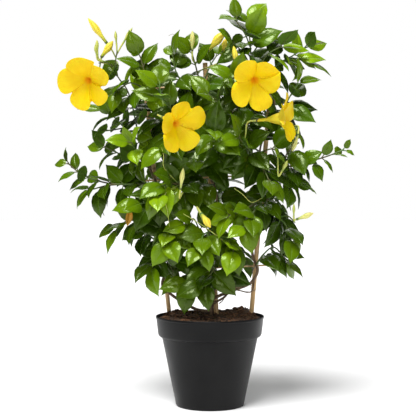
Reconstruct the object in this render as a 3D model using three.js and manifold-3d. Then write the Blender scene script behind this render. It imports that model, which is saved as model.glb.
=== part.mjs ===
// A potted yellow mandevilla trained on a fan of three bamboo canes, in millimetres with +Z up.
// The origin is the centre of the pot's underside, and -Y is the plant's front.
// Every stick, wire and woody stem is a solid of its own. Each leafy spray is one grown body:
// its green stems with the leaves, flower stalks and green buds fused on.

import * as THREE from "three";
import { mergeVertices } from "three/addons/utils/BufferGeometryUtils.js";
import Module from "manifold-3d";

const wasm = await Module();
wasm.setup();

// Driving sizes
const GAP = 0.3; // air between two pieces that touch
const POT = {
  height: 140,
  rimRadius: 85,
  baseRadius: 53.5,
  bodyTopRadius: 75.3,
  bandBottomRadius: 81.3,
  bandBottom: 112,
  bodyTop: 107,
  wall: 2,
  floor: 3,
  sides: 28,
  drainHoles: 5,
  drainRadius: 4.5,
  drainCircle: 36,
};
const SOIL = { level: 138, edgeDrop: 3, rings: 3, mounds: [
  { x: -60, y: 16, rise: 9, spread: 15 },
  { x: 54, y: 26, rise: 14, spread: 16 },
  { x: 0, y: 44, rise: 5, spread: 26 },
] };
const CANE_BACK = 22; // the plane that the backs of the three canes share
const CANE_FOOT = 92; // how high above the pot's underside the canes' pushed-in ends are
const CANES = {
  left: { x: -65.2, lean: -0.107, radius: 3.5, top: 532 },
  middle: { x: 10, lean: -0.045, radius: 3.9, top: 540 },
  right: { x: 66.6, lean: 0.085, radius: 3.8, top: 532 },
};
const CANE_LEAN_FROM = 146; // the height at which the canes' x is given
const CANE_JOINTS = [[178, 184], [271, 277], [371, 377]]; // the foot and top of each swollen joint
const CANE_SWELL = 1.04; // a cane's joints against its nominal radius
const CANE_WAIST = 0.97; // the lengths between them
const CANE_SIDES = 8;
const BARS = [
  { name: "bar_low", height: 213, from: -103, to: 96 },
  { name: "bar_middle", height: 358, from: -112, to: 104 },
  { name: "bar_top", height: 505, from: -120, to: 112 },
];
const BAR_RADIUS = 1.5;
const BAR_RISE = 0.05; // how much each bar climbs towards +X
const BAR_SIDES = 6;
const WIRE = { radius: 0.5, sides: 3, steps: 10 };
const TIE_SLACK = 1.08; // a tie's loop against a tight one
const TRUNK = { x: 2.2, y: 9.6, foot: 70, radius: 4.4, taper: 1.4, sides: 8 };
const TWINE_CLEAR = 3; // room for the tie wires between a cane and the stem that climbs it
const STEM = { radius: 1.5, tipRadius: 1, step: 22, node: 2.4, footShare: 0.55, seat: 0.6 };
const FIRST_PAIR = 18; // how far up a shoot its first leaves are
const LAST_PAIR = 0.97; // how far up it the last are, as a share of its length
const STALK = { radius: 1, swell: 0.5, sides: 3, step: 20 };
const BLADE_THICK = 1.4; // at the midrib, falling to nothing at the edge
const PAIR_STEP = 18.5;
const PETIOLE = 5.5;
const FACING = 0.35; // how far at least a leaf's way out of the stem agrees with the face that it grows from
const LIGHT_FROM = 60; // leaves in front of this depth turn forward to the light, those behind it backward
const LEAF_ROOM = 3.4; // how close the sample points of two leaves may come
const LEAF_TRIES = 18; // how many ways a leaf may turn to find room before it is left out
const WALK = 4; // the step of the points that stand for sticks, stems and petals
const SHED = 0.12; // detail finer than this is left out where shoots, stalks and petals are fused

// The places of shoots, buds and blooms are [x, z, depth]: where an eye sees them against the upright
// plane through the pot's axis, and how far behind that plane they lie.
const EYE = { distance: 1513, height: 309 };
const seen = ([x, z, depth]) => {
  const share = (EYE.distance + depth) / EYE.distance;
  return new THREE.Vector3(x * share, depth, EYE.height + (z - EYE.height) * share);
};

// Sprays: each leaves one of the woody stems at a height, and its first shoot carries the others.
// A shoot has its route, its pairs of leaves, their length at its root and tip, and its turn in degrees.
const SPRAYS = [
  { name: "spray_top_left", wood: "left", height: 432, shoots: [
    { via: [[-126, 484, -10], [-144, 514, -24], [-155, 536, -32]], pairs: 4, leaf: [50, 38], turn: 40 },
    { on: 0, at: 0.96, via: [[-168, 541, -38], [-175, 537, -42]], pairs: 0, leaf: [24, 22], turn: 0 },
    { on: 0, at: 0.86, via: [[-150, 550, -30], [-146, 556, -30]], pairs: 1, leaf: [34, 30], turn: 60 },
  ] },
  { name: "spray_upper_left", wood: "left", height: 458, shoots: [
    { via: [[-96, 500, -28], [-105, 530, -42], [-110, 548, -40]], pairs: 5, leaf: [50, 38], turn: 90 },
    { on: 0, at: 0.4, via: [[-124, 506, -34], [-142, 496, -40]], pairs: 3, leaf: [48, 42], turn: 20 },
  ] },
  { name: "spray_top_middle", wood: "middle", height: 478, shoots: [
    { via: [[-18, 516, -2], [-24, 540, -8], [-28, 552, -10]], pairs: 4, leaf: [50, 40], turn: 90 },
    { on: 0, at: 0.12, via: [[-44, 508, -20], [-56, 532, -28], [-58, 548, -26]],
      pairs: 4, leaf: [50, 40], turn: 40 },
    { on: 0, at: 0.3, via: [[0, 532, 12], [10, 548, 22]], pairs: 2, leaf: [44, 38], turn: 60 },
  ] },
  { name: "spray_crown", wood: "right", height: 462, shoots: [
    { via: [[66, 520, -8], [64, 560, -14], [60, 600, -14]], pairs: 6, leaf: [54, 46], turn: 50 },
    { on: 0, at: 0.25, via: [[100, 530, 0], [126, 546, -4], [150, 562, -8]],
      pairs: 4, leaf: [50, 38], turn: 60 },
    { on: 1, at: 0.96, via: [[164, 566, -10], [178, 570, -10]], pairs: 0, leaf: [14, 12], turn: 0 },
    { on: 0, at: 0.6, via: [[78, 568, -12], [90, 574, -14]], pairs: 2, leaf: [46, 42], turn: 70 },
    { on: 0, at: 0.5, via: [[48, 560, -22], [36, 570, -26]], pairs: 2, leaf: [44, 40], turn: 10 },
    { on: 1, at: 0.45, via: [[134, 546, -12], [154, 538, -16]], pairs: 3, leaf: [46, 40], turn: 60 },
    { on: 0, at: 0.4, via: [[92, 552, -24], [110, 562, -30]], pairs: 3, leaf: [46, 42], turn: 40 },
    { on: 0, at: 0.72, via: [[52, 590, -22], [42, 602, -26]], pairs: 2, leaf: [40, 36], turn: 90 },
  ] },
  { name: "spray_right_upper", wood: "right", height: 425, shoots: [
    { via: [[115, 465, -15], [130, 492, -24], [138, 504, -26]], pairs: 4, leaf: [52, 42], turn: 110 },
    { on: 0, at: 0.35, via: [[120, 446, -18], [128, 434, -16]], pairs: 2, leaf: [50, 44], turn: 40 },
  ] },
  { name: "spray_right_middle", wood: "right", height: 352, shoots: [
    { via: [[118, 372, -20], [150, 381, -30], [178, 388, -34], [211, 401, -36]],
      pairs: 6, leaf: [50, 18], turn: 90 },
    { on: 0, at: 0.18, via: [[122, 348, -8], [138, 346, -10]], pairs: 3, leaf: [48, 40], turn: 45 },
    { on: 0, at: 0.3, via: [[124, 402, -26], [140, 412, -30]], pairs: 3, leaf: [48, 42], turn: 30 },
  ] },
  { name: "spray_right_low", wood: "right", height: 284, shoots: [
    { via: [[106, 294, -20], [122, 280, -28], [128, 262, -32]], pairs: 4, leaf: [52, 42], turn: 60 },
    { on: 0, at: 0.55, via: [[128, 296, -40], [134, 286, -46]], pairs: 0, leaf: [20, 20], turn: 0 },
  ] },
  { name: "spray_right_base", wood: "right", height: 232, shoots: [
    { via: [[92, 248, 6], [108, 242, 8], [118, 230, 8]], pairs: 4, leaf: [50, 40], turn: 30 },
  ] },
  { name: "spray_low_front", wood: "middle", height: 206, shoots: [
    { via: [[4, 216, -32], [2, 206, -56], [-8, 190, -66]], pairs: 4, leaf: [54, 42], turn: 40 },
    { on: 0, at: 0.35, via: [[-20, 204, -38], [-32, 192, -46]], pairs: 2, leaf: [48, 44], turn: 0 },
  ] },
  { name: "spray_low_left", wood: "left", height: 232, shoots: [
    { via: [[-86, 234, -2], [-92, 218, -8]], pairs: 3, leaf: [46, 44], turn: 20 },
    { on: 0, at: 0.35, via: [[-66, 224, -18], [-58, 210, -26]], pairs: 2, leaf: [44, 40], turn: 0 },
  ] },
  { name: "spray_left_low", wood: "left", height: 286, shoots: [
    { via: [[-112, 290, -8], [-132, 286, -14], [-146, 278, -16]], pairs: 4, leaf: [48, 40], turn: 0 },
  ] },
  { name: "spray_left_shoot", wood: "left", height: 330, shoots: [
    { via: [[-130, 346, -16], [-170, 350, -22], [-204, 364, -26], [-224, 380, -26]],
      pairs: 6, leaf: [48, 28], turn: 10 },
    { on: 0, at: 0.4, via: [[-164, 344, -26], [-186, 338, -30]], pairs: 3, leaf: [46, 38], turn: 90 },
  ] },
  { name: "spray_left", wood: "left", height: 374, shoots: [
    { via: [[-130, 388, 10], [-150, 398, 12], [-164, 404, 10]], pairs: 3, leaf: [44, 36], turn: 5 },
    { on: 0, at: 0.2, via: [[-116, 400, -40], [-124, 412, -60]],
      pairs: 3, leaf: [44, 36], turn: 0, young: true },
  ] },
  { name: "spray_left_upper", wood: "left", height: 396, shoots: [
    { via: [[-124, 424, 22], [-148, 450, 12], [-168, 462, 2]], pairs: 4, leaf: [50, 42], turn: 60 },
    { on: 0, at: 0.5, via: [[-152, 432, 4], [-168, 430, -4]], pairs: 3, leaf: [48, 42], turn: 30 },
  ] },
  { name: "spray_front_left", wood: "middle", height: 318, shoots: [
    { via: [[-42, 345, -50], [-66, 348, -84], [-82, 332, -98]],
      pairs: 4, leaf: [52, 42], turn: 0, young: true },
    { on: 0, at: 0.35, via: [[-84, 322, -46], [-108, 316, -62]], pairs: 3, leaf: [50, 44], turn: 40 },
  ] },
  { name: "spray_front_middle", wood: "middle", height: 385, shoots: [
    { via: [[4, 410, -50], [8, 424, -86], [2, 430, -104]], pairs: 4, leaf: [58, 48], turn: 20 },
    { on: 0, at: 0.4, via: [[-22, 392, -76], [-36, 376, -88]], pairs: 3, leaf: [52, 46], turn: 50 },
  ] },
  { name: "spray_front_upper_left", wood: "middle", height: 424, shoots: [
    { via: [[-46, 450, -46], [-72, 476, -74], [-80, 502, -80]], pairs: 5, leaf: [52, 40], turn: 60 },
    { on: 0, at: 0.26, via: [[-64, 424, -64], [-74, 404, -80]], pairs: 3, leaf: [52, 46], turn: 40 },
    { on: 0, at: 0.12, via: [[-78, 452, -34], [-98, 452, -40]], pairs: 2, leaf: [48, 44], turn: 60 },
  ] },
  { name: "spray_front_upper_right", wood: "right", height: 436, shoots: [
    { via: [[52, 470, -40], [40, 492, -66], [36, 515, -72]], pairs: 4, leaf: [50, 40], turn: 10 },
    { on: 0, at: 0.4, via: [[16, 476, -60], [0, 486, -70]], pairs: 3, leaf: [48, 42], turn: 30 },
  ] },
  { name: "spray_front_right", wood: "right", height: 384, shoots: [
    { via: [[62, 400, -42], [52, 412, -72], [46, 420, -84]], pairs: 3, leaf: [54, 46], turn: 30 },
    { on: 0, at: 0.3, via: [[96, 402, -46], [110, 394, -66]], pairs: 3, leaf: [52, 44], turn: 10 },
    { on: 0, at: 0.4, via: [[84, 372, -58], [92, 354, -70]], pairs: 3, leaf: [50, 44], turn: 40 },
  ] },
  { name: "spray_front_right_low", wood: "right", height: 306, shoots: [
    { via: [[72, 308, -46], [64, 296, -78], [56, 280, -88]], pairs: 4, leaf: [48, 38], turn: 0, young: true },
    { on: 0, at: 0.3, via: [[44, 302, -66], [30, 298, -82]], pairs: 2, leaf: [42, 36], turn: 0 },
  ] },
  { name: "spray_front_low", wood: "middle", height: 256, shoots: [
    { via: [[0, 270, -48], [-12, 264, -80], [-14, 246, -92]],
      pairs: 4, leaf: [50, 40], turn: 20, young: true },
    { on: 0, at: 0.35, via: [[30, 254, -56], [38, 244, -76]],
      pairs: 3, leaf: [46, 40], turn: 0, young: true },
    { on: 0, at: 0.2, via: [[-26, 292, -56], [-36, 284, -72]], pairs: 2, leaf: [46, 40], turn: 30 },
  ] },
  { name: "spray_front_low_left", wood: "left", height: 258, shoots: [
    { via: [[-64, 274, -36], [-60, 270, -64], [-66, 256, -78]],
      pairs: 4, leaf: [50, 42], turn: 90, young: true },
  ] },
  { name: "spray_back_left", wood: "left", height: 306, shoots: [
    { via: [[-92, 318, 70], [-100, 334, 108], [-96, 352, 130]], pairs: 4, leaf: [52, 42], turn: 0 },
    { on: 0, at: 0.3, via: [[-108, 296, 74], [-112, 282, 94]], pairs: 3, leaf: [50, 40], turn: 20 },
  ] },
  { name: "spray_back_low", wood: "middle", height: 268, shoots: [
    { via: [[0, 262, 72], [-10, 254, 108], [-14, 236, 124]], pairs: 4, leaf: [52, 40], turn: 10 },
    { on: 0, at: 0.3, via: [[36, 248, 80], [52, 236, 100]], pairs: 3, leaf: [48, 40], turn: 30 },
  ] },
  { name: "spray_back_middle", wood: "middle", height: 352, shoots: [
    { via: [[2, 366, 76], [-6, 382, 118], [-10, 404, 140]], pairs: 5, leaf: [52, 38], turn: 30 },
  ] },
  { name: "spray_back_right", wood: "right", height: 330, shoots: [
    { via: [[96, 340, 66], [106, 350, 100], [104, 368, 122]], pairs: 4, leaf: [52, 42], turn: 0 },
    { on: 0, at: 0.3, via: [[108, 306, 72], [114, 292, 92]], pairs: 3, leaf: [50, 40], turn: 20 },
  ] },
  { name: "spray_back_top_left", wood: "left", height: 440, shoots: [
    { via: [[-84, 462, 66], [-88, 488, 94], [-80, 512, 104]], pairs: 5, leaf: [50, 36], turn: 20 },
  ] },
  { name: "spray_back_top_right", wood: "right", height: 446, shoots: [
    { via: [[84, 470, 62], [84, 500, 90], [74, 526, 98]], pairs: 5, leaf: [50, 36], turn: 0 },
    { on: 0, at: 0.2, via: [[36, 470, 72], [14, 490, 96]], pairs: 3, leaf: [48, 40], turn: 20 },
  ] },
];

// Yellow buds, each on a stalk from a point of a shoot: where its foot and tip are, and its thickest radius.
const BUDS = [
  { name: "bud_long", spray: "spray_top_left", shoot: 2, at: 0.7,
    foot: [-162, 568, -32], tip: [-192, 608, -36], girth: 5.2 },
  { name: "bud_beside_bloom", spray: "spray_top_left", shoot: 1, at: 0.3,
    foot: [-171, 546, -36], tip: [-152.5, 572, -40], girth: 5.6 },
  { name: "bud_top_opening", spray: "spray_top_middle", shoot: 0, at: 0.8,
    foot: [-4, 556, -16], tip: [24, 587, -24], girth: 7 },
  { name: "bud_top_small", spray: "spray_top_middle", shoot: 0, at: 0.62,
    foot: [20, 553, -8], tip: [25, 576, -10], girth: 4.5 },
  { name: "bud_top_pale", spray: "spray_top_middle", shoot: 0, at: 0.8,
    foot: [-28, 556, -24], tip: [-27.5, 588, -26], girth: 4.2 },
  { name: "bud_right_hanging", spray: "spray_right_upper", shoot: 1, at: 0.9,
    foot: [139, 425, -50], tip: [129, 398, -56], girth: 4 },
  { name: "bud_behind_bloom", spray: "spray_front_upper_right", shoot: 0, at: 0.8,
    foot: [44, 528, -70], tip: [37, 564, -70], girth: 4.5 },
  { name: "bud_left_front", spray: "spray_front_left", shoot: 0, at: 0.5,
    foot: [-46.5, 338, -100], tip: [-42, 372, -104], girth: 3.6 },
  { name: "bud_middle_front", spray: "spray_front_low", shoot: 0, at: 0.5,
    foot: [-14, 301, -92], tip: [1, 278, -98], girth: 5.4 },
  { name: "bud_right_low", spray: "spray_right_low", shoot: 1, at: 0.96,
    foot: [136, 291, -50], tip: [163, 301, -54], girth: 4.2 },
];

// Green buds, fused to their spray.
const GREEN_BUDS = [
  { spray: "spray_top_left", shoot: 1, at: 0.72,
    foot: [-178, 547, -42], tip: [-181, 566, -44], girth: 2.4 },
  { spray: "spray_top_left", shoot: 1, at: 0.5,
    foot: [-177, 552, -36], tip: [-178, 574, -36], girth: 2.8 },
  { spray: "spray_top_left", shoot: 2, at: 0.95,
    foot: [-147, 566, -30], tip: [-149, 588, -30], girth: 2.4 },
  { spray: "spray_top_left", shoot: 2, at: 0.82,
    foot: [-137, 568, -28], tip: [-122, 593, -26], girth: 2.8 },
  { spray: "spray_front_right", shoot: 1, at: 0.9,
    foot: [113, 366, -72], tip: [122, 384, -74], girth: 3 },
  { spray: "spray_right_low", shoot: 1, at: 0.96,
    foot: [132, 294, -48], tip: [132, 316, -50], girth: 2.2 },
];

// Blooms: where the throat is, which way it faces, where round it its five lobes stand in degrees, and
// its size.
const BLOOMS = [
  { name: "bloom_left", spray: "spray_top_left", shoot: 1, at: 0.88,
    throat: [-194, 508, -74], facing: [-0.25, -0.85, -0.42], lobes: [153, 72, -6, -63, -132], size: 1 },
  { name: "bloom_right", spray: "spray_front_upper_right", shoot: 0, at: 0.7,
    throat: [71, 508, -112], facing: [0.15, -0.88, -0.42], lobes: [142, 69, 9, -65, -136], size: 1 },
  { name: "bloom_middle", spray: "spray_front_upper_left", shoot: 0, at: 0.42,
    throat: [-50, 440, -130], facing: [0.6, -0.72, -0.34], lobes: [150, 66, -16, -88, -150], size: 0.96 },
  { name: "bloom_side", spray: "spray_front_right", shoot: 0, at: 0.8,
    throat: [112, 450, -92], facing: [0.93, -0.3, 0.05], lobes: [25, 97, 169, 241, 313], size: 0.9 },
];
const COROLLA = {
  tubeLength: 42,
  tubeRadius: 2.6,
  tubeShare: 0.4,
  throatRadius: 10.5,
  wall: 1.2,
  throatDepth: 24,
  lobeLength: 37,
  lobeWidth: 43,
  lobeSplay: 0.85, // the angle between the flower's axis and its lobes where they start, in radians
  lobeCurl: -0.45, // how far the lobes bend back from there, in radians
  lobeTilt: 0.3, // each lobe's near edge lies over its neighbour, like a pinwheel's
  sides: 7,
};

const COLOURS = {
  pot: [0x2a2b2b, 0.55],
  soil: [0x3a271a, 0.95],
  cane: [0xc9a26b, 0.55],
  wire: [0x8d8f8c, 0.4],
  wood: [0x6b5541, 0.8],
  leaf: [0x2f6a12, 0.35],
  youngLeaf: [0x4f8d14, 0.35],
  petal: [0xf6cf12, 0.5],
  bud: [0xe8d54a, 0.5],
};

// The same small generator gives every random draw, from a seed of its own for each leaf.
function randomFrom(seed) {
  let state = seed >>> 0;
  return () => {
    state = (state + 0x6d2b79f5) >>> 0;
    let t = Math.imul(state ^ (state >>> 15), state | 1);
    t = (t + Math.imul(t ^ (t >>> 7), t | 61)) ^ t;
    return ((t ^ (t >>> 14)) >>> 0) / 4294967296;
  };
}

const lerp = (a, b, t) => a + (b - a) * t;
const degrees = (angle) => (angle * Math.PI) / 180;
const vector = (x, y, z) => new THREE.Vector3(x, y, z);
const UP = vector(0, 0, 1);

// Solids and meshes

function solidOf(geometry) {
  const source = geometry.index ? geometry.toNonIndexed() : geometry;
  const bare = new THREE.BufferGeometry().setAttribute("position", source.getAttribute("position"));
  const merged = mergeVertices(bare, 1e-4);
  const corners = [];
  for (let i = 0; i < merged.index.count; i += 3) {
    const [a, b, c] = [0, 1, 2].map((k) => merged.index.getX(i + k));
    if (a !== b && b !== c && a !== c) corners.push(a, b, c);
  }
  const fromCorners = () => new wasm.Manifold(
    new wasm.Mesh({
      numProp: 3,
      vertProperties: new Float32Array(merged.attributes.position.array),
      triVerts: new Uint32Array(corners),
    }),
  );
  const made = fromCorners();
  if (made.volume() >= 0) return made;
  for (let i = 0; i < corners.length; i += 3) [corners[i], corners[i + 1]] = [corners[i + 1], corners[i]];
  return fromCorners();
}

// Corners of a fused body that only touch each other are moved a hair apart, so that none is taken
// for another.
const HAIR = 0.01;

function partCorners(geometry) {
  const [place, normal] = [geometry.getAttribute("position"), geometry.getAttribute("normal")];
  const known = new Set();
  for (let i = 0; i < place.count; i++) {
    const at = vector(place.getX(i), place.getY(i), place.getZ(i));
    const inward = vector(normal.getX(i), normal.getY(i), normal.getZ(i)).multiplyScalar(-HAIR);
    const key = () => at.toArray().map((v) => Math.round(v / HAIR)).join();
    while (known.has(key())) at.add(inward.lengthSq() > 0 ? inward : vector(HAIR, 0, 0));
    known.add(key());
    place.setXYZ(i, at.x, at.y, at.z);
  }
}

function meshOf(name, made, colour) {
  const data = made.getMesh();
  const places = new Float32Array(data.numVert * 3);
  for (let i = 0; i < data.numVert; i++) {
    places.set(data.vertProperties.subarray(i * data.numProp, i * data.numProp + 3), i * 3);
  }
  const geometry = new THREE.BufferGeometry();
  geometry.setAttribute("position", new THREE.BufferAttribute(places, 3));
  geometry.setIndex(new THREE.BufferAttribute(new Uint32Array(data.triVerts), 1));
  geometry.computeVertexNormals();
  partCorners(geometry);
  const [color, roughness] = colour;
  const mesh = new THREE.Mesh(geometry, new THREE.MeshStandardMaterial({ color, roughness, metalness: 0 }));
  mesh.name = name;
  return mesh;
}

// A cylinder bent along a row of points, with its radius running from one end to the other.
function bentCylinder(points, radiusAt, sides) {
  const steps = points.length - 1;
  const frames = [];
  let across = null;
  points.forEach((point, i) => {
    const along = points[Math.min(i + 1, steps)].clone().sub(points[Math.max(i - 1, 0)]).normalize();
    if (!across) across = Math.abs(along.z) > 0.9 ? vector(1, 0, 0) : vector(0, 0, 1);
    across = across.clone().addScaledVector(along, -across.dot(along)).normalize();
    frames.push({ point, across, beside: across.clone().cross(along) });
  });
  const geometry = new THREE.CylinderGeometry(1, 1, 1, sides, steps);
  const place = geometry.getAttribute("position");
  for (let i = 0; i < place.count; i++) {
    const ring = Math.round((place.getY(i) + 0.5) * steps);
    const { point, across: x, beside: z } = frames[ring];
    const radius = radiusAt(ring / steps);
    const to = point.clone()
      .addScaledVector(x, place.getX(i) * radius)
      .addScaledVector(z, place.getZ(i) * radius);
    place.setXYZ(i, to.x, to.y, to.z);
  }
  return solidOf(geometry);
}

// A smooth way through some points, as straight legs of about one step, and any place along those legs.
class Route {
  constructor(via, step) {
    const curve = new THREE.CatmullRomCurve3(via, false, "catmullrom", 0.5);
    this.knots = curve.getSpacedPoints(Math.max(2, Math.round(curve.getLength() / step)));
    this.reach = [0];
    this.knots.slice(1).forEach((knot, i) => this.reach.push(this.reach[i] + knot.distanceTo(this.knots[i])));
    this.length = this.reach[this.knots.length - 1];
  }

  at(share) {
    const want = share * this.length;
    let i = 1;
    while (i < this.knots.length - 1 && this.reach[i] < want) i++;
    const part = (want - this.reach[i - 1]) / (this.reach[i] - this.reach[i - 1]);
    return {
      point: this.knots[i - 1].clone().lerp(this.knots[i], part),
      along: this.knots[i].clone().sub(this.knots[i - 1]).normalize(),
    };
  }

  walk(step) {
    const count = Math.ceil(this.length / step);
    return Array.from({ length: count + 1 }, (_, i) => this.at(i / count).point);
  }
}

// Keeps solids and leaves apart: it knows a cloud of points with the room that each takes up.
class Room {
  constructor() {
    this.cell = 12;
    this.cells = new Map();
  }

  key(x, y, z) {
    return (Math.floor(x / this.cell) * 1000 + Math.floor(y / this.cell)) * 1000 + Math.floor(z / this.cell);
  }

  add(point, radius, owner) {
    const key = this.key(point.x, point.y, point.z);
    if (!this.cells.has(key)) this.cells.set(key, []);
    this.cells.get(key).push({ point, radius, owner });
  }

  // True if no known point of another owner comes closer than its radius and the clearance.
  clear(point, clearance, allows) {
    const near = [-this.cell, 0, this.cell];
    const blocks = (other) =>
      point.distanceTo(other.point) < other.radius + clearance && !allows(other.owner);
    for (const x of near) {
      for (const y of near) {
        for (const z of near) {
          const here = this.cells.get(this.key(point.x + x, point.y + y, point.z + z));
          if (here && here.some(blocks)) return false;
        }
      }
    }
    return true;
  }
}
const room = new Room();

// Pot

function potWallProfile() {
  const { height, rimRadius, baseRadius, bodyTopRadius, bandBottomRadius, bandBottom, bodyTop, wall } = POT;
  const outer = [
    [baseRadius - 3, 0],
    [baseRadius + 0.4, 3.5],
    [bodyTopRadius, bodyTop],
    [bodyTopRadius + 3.6, bodyTop + 1.4],
    [bandBottomRadius, bandBottom],
    [rimRadius, height - 1.4],
    [rimRadius - 0.6, height],
  ];
  const inner = [
    [rimRadius - wall, height],
    [bodyTopRadius - wall + 0.8, bodyTop + 3],
    [baseRadius - 1 - wall, POT.floor],
  ];
  return { outer, inner };
}

function lathe(profile, sides) {
  return solidOf(
    new THREE.LatheGeometry(profile.map(([r, z]) => new THREE.Vector2(r, z)), sides).rotateX(Math.PI / 2),
  );
}

function makePot() {
  const { outer, inner } = potWallProfile();
  let pot = lathe([[0, 0], ...outer, ...inner, [0, POT.floor]], POT.sides);
  for (let i = 0; i < POT.drainHoles; i++) {
    const angle = (i / POT.drainHoles) * 2 * Math.PI;
    const hole = new THREE.CylinderGeometry(POT.drainRadius, POT.drainRadius, 4 * POT.floor, 7);
    hole.rotateX(Math.PI / 2);
    hole.translate(Math.cos(angle) * POT.drainCircle, Math.sin(angle) * POT.drainCircle, 0);
    pot = pot.subtract(solidOf(hole));
  }
  return pot;
}

// Soil

function soilHeight(x, y) {
  const reach = Math.hypot(x, y) / (POT.rimRadius - POT.wall);
  const heaps = SOIL.mounds.map(
    (m) => m.rise * Math.exp(-((x - m.x) ** 2 + (y - m.y) ** 2) / (2 * m.spread ** 2)),
  );
  const lumps = 0.9 * Math.sin(x * 0.31 + 1.3) * Math.cos(y * 0.27) + 0.6 * Math.sin(x * 0.13 - y * 0.22);
  const heaped = heaps.reduce((a, b) => a + b, 0) + lumps;
  return SOIL.level - SOIL.edgeDrop * reach ** 4 + heaped * (1 - reach ** 6);
}

function soilBlank() {
  const { inner } = potWallProfile();
  const [top, shoulder, foot] = inner;
  const share = (SOIL.level - SOIL.edgeDrop - shoulder[1]) / (top[1] - shoulder[1]);
  const edge = lerp(shoulder[0], top[0], share) - 2 * GAP;
  const walls = [
    [foot[0] - GAP, foot[1] + GAP],
    [shoulder[0] - 2 * GAP, shoulder[1]],
  ];
  const rings = Array.from(
    { length: SOIL.rings },
    (_, i) => [(edge * (SOIL.rings - i)) / SOIL.rings, SOIL.level],
  );
  const profile = [[0, POT.floor + GAP], ...walls, ...rings, [0, SOIL.level]];
  const geometry = new THREE.LatheGeometry(profile.map(([r, z]) => new THREE.Vector2(r, z)), POT.sides);
  geometry.rotateX(Math.PI / 2);
  const place = geometry.getAttribute("position");
  for (let i = 0; i < place.count; i++) {
    if (place.getZ(i) < SOIL.level - 0.01) continue;
    place.setZ(i, soilHeight(place.getX(i), place.getY(i)));
  }
  return solidOf(geometry);
}

// Canes, bars and tie wires

const caneX = (cane, z) => cane.x + cane.lean * (z - CANE_LEAN_FROM);
const caneY = (cane) => CANE_BACK - cane.radius;
const canePoint = (cane, z) => vector(caneX(cane, z), caneY(cane), z);

function makeCane(cane) {
  const heights = [CANE_FOOT, ...CANE_JOINTS.flat(), cane.top];
  const last = heights.length - 1;
  const jointTop = (i) => i > 0 && i < last && i % 2 === 0;
  const radiusAt = (share) => cane.radius * (jointTop(Math.round(share * last)) ? CANE_SWELL : CANE_WAIST);
  return bentCylinder(heights.map((z) => canePoint(cane, z)), radiusAt, CANE_SIDES);
}

const barHeight = (bar, x) => bar.height + BAR_RISE * x;
const barY = CANE_BACK + GAP + BAR_RADIUS;

function makeBar(bar) {
  const xs = [bar.from, (bar.from + bar.to) / 2, bar.to];
  return bentCylinder(xs.map((x) => vector(x, barY, barHeight(bar, x))), () => BAR_RADIUS, BAR_SIDES);
}

// A loop of wire drawn round a cane and the bar behind it, closed on itself. It is squarer than a circle,
// and crosses the bar from below on its left to above on its right.
function makeTie(cane, bar) {
  const x = caneX(cane, barHeight(bar, cane.x));
  const z = barHeight(bar, x);
  const front = caneY(cane) - cane.radius * CANE_SWELL - GAP - WIRE.radius;
  const back = barY + BAR_RADIUS + GAP + WIRE.radius;
  const half = cane.radius * CANE_SWELL + GAP + 2 * WIRE.radius;
  const centre = vector(x, (front + back) / 2, z);
  const lift = BAR_RADIUS + GAP + 3 * WIRE.radius;
  const torus = new THREE.TorusGeometry(1, WIRE.radius, WIRE.sides, WIRE.steps);
  const place = torus.getAttribute("position");
  for (let i = 0; i < place.count; i++) {
    const [px, py, pz] = [place.getX(i), place.getY(i), place.getZ(i)];
    const reach = Math.hypot(px, py);
    const [cx, cy] = [px / reach, py / reach];
    const grow = TIE_SLACK / Math.cbrt(Math.abs(cx) ** 3 + Math.abs(cy) ** 3);
    place.setXYZ(
      i,
      centre.x + cx * (half * grow + (reach - 1)),
      centre.y + cy * (((back - front) / 2) * grow + (reach - 1)),
      centre.z + pz + lift * THREE.MathUtils.clamp(cx * 2.5, -1, 1),
    );
  }
  return solidOf(torus);
}

// Woody stems

// The turns of a stem round a cane: it passes in front at each bar, and behind halfway between two bars.
function twining(cane, from, to, clear, radiusAt) {
  const spacing = BARS[1].height - BARS[0].height;
  const points = [];
  for (let z = from; z <= to; z += 12) {
    const turn = ((z - BARS[0].height - BAR_RISE * cane.x) / spacing) * 2 * Math.PI;
    const radius = cane.radius * CANE_SWELL + clear + radiusAt((z - from) / (to - from));
    points.push(canePoint(cane, z).add(vector(-Math.sin(turn) * radius, -Math.cos(turn) * radius, 0)));
  }
  return points;
}

// Each stem's places from the trunk to its cane, how high it climbs there, and its radius at its foot.
const WOOD = {
  left: {
    via: [
      [0, 146, 9],
      [-28.6, 152, 4],
      [-45.5, 162.8, 4],
      [-59.5, 172, 6],
      [-68, 180, 8.5],
      [-75, 189, 9.5],
    ],
    climb: [206, 486],
    radius: 2.4,
  },
  middle: { via: [[4, 166, 9], [4.5, 180, 8.5]], climb: [196, 504], radius: 2.4 },
  right: {
    via: [
      [4, 166, 8],
      [13.5, 169.5, 7.5],
      [24.7, 175.2, 6],
      [37.6, 180.1, 5],
      [50, 184.2, 6],
      [62, 189, 8.5],
    ],
    climb: [206, 492],
    radius: 2.5,
  },
};
const WOOD_TIP = 1.5;
const WOOD_SIDES = 5;
const WOOD_STEP = 22;

// Thinner strands of the right stem, which leave it and grow together with it again.
const STRANDS = [
  {
    via: [[4, 158, 6], [14, 162, 2.5], [26, 172, 0.8], [40, 184.5, 0.8], [56, 187, 6.5]],
    radius: 1.8,
  },
  {
    via: [[40, 180.5, 5.5], [50, 174.5, 5.5], [64, 177, 8], [74, 187, 8.5], [71, 200, 9]],
    radius: 1.1,
  },
];
const STRAND_SIDES = 4;
const BARK_SHED = 0.25; // detail finer than this is left out where the stems grow together

for (const [name, stem] of Object.entries(WOOD)) {
  const taper = (share) => lerp(stem.radius, WOOD_TIP, share);
  stem.radiusAt = taper;
  const climbTaper = (share) => taper(lerp(0.3, 1, share));
  const climbing = twining(CANES[name], stem.climb[0], stem.climb[1], TWINE_CLEAR, climbTaper);
  stem.route = new Route([...stem.via.map(seen), ...climbing], WOOD_STEP);
}

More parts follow.
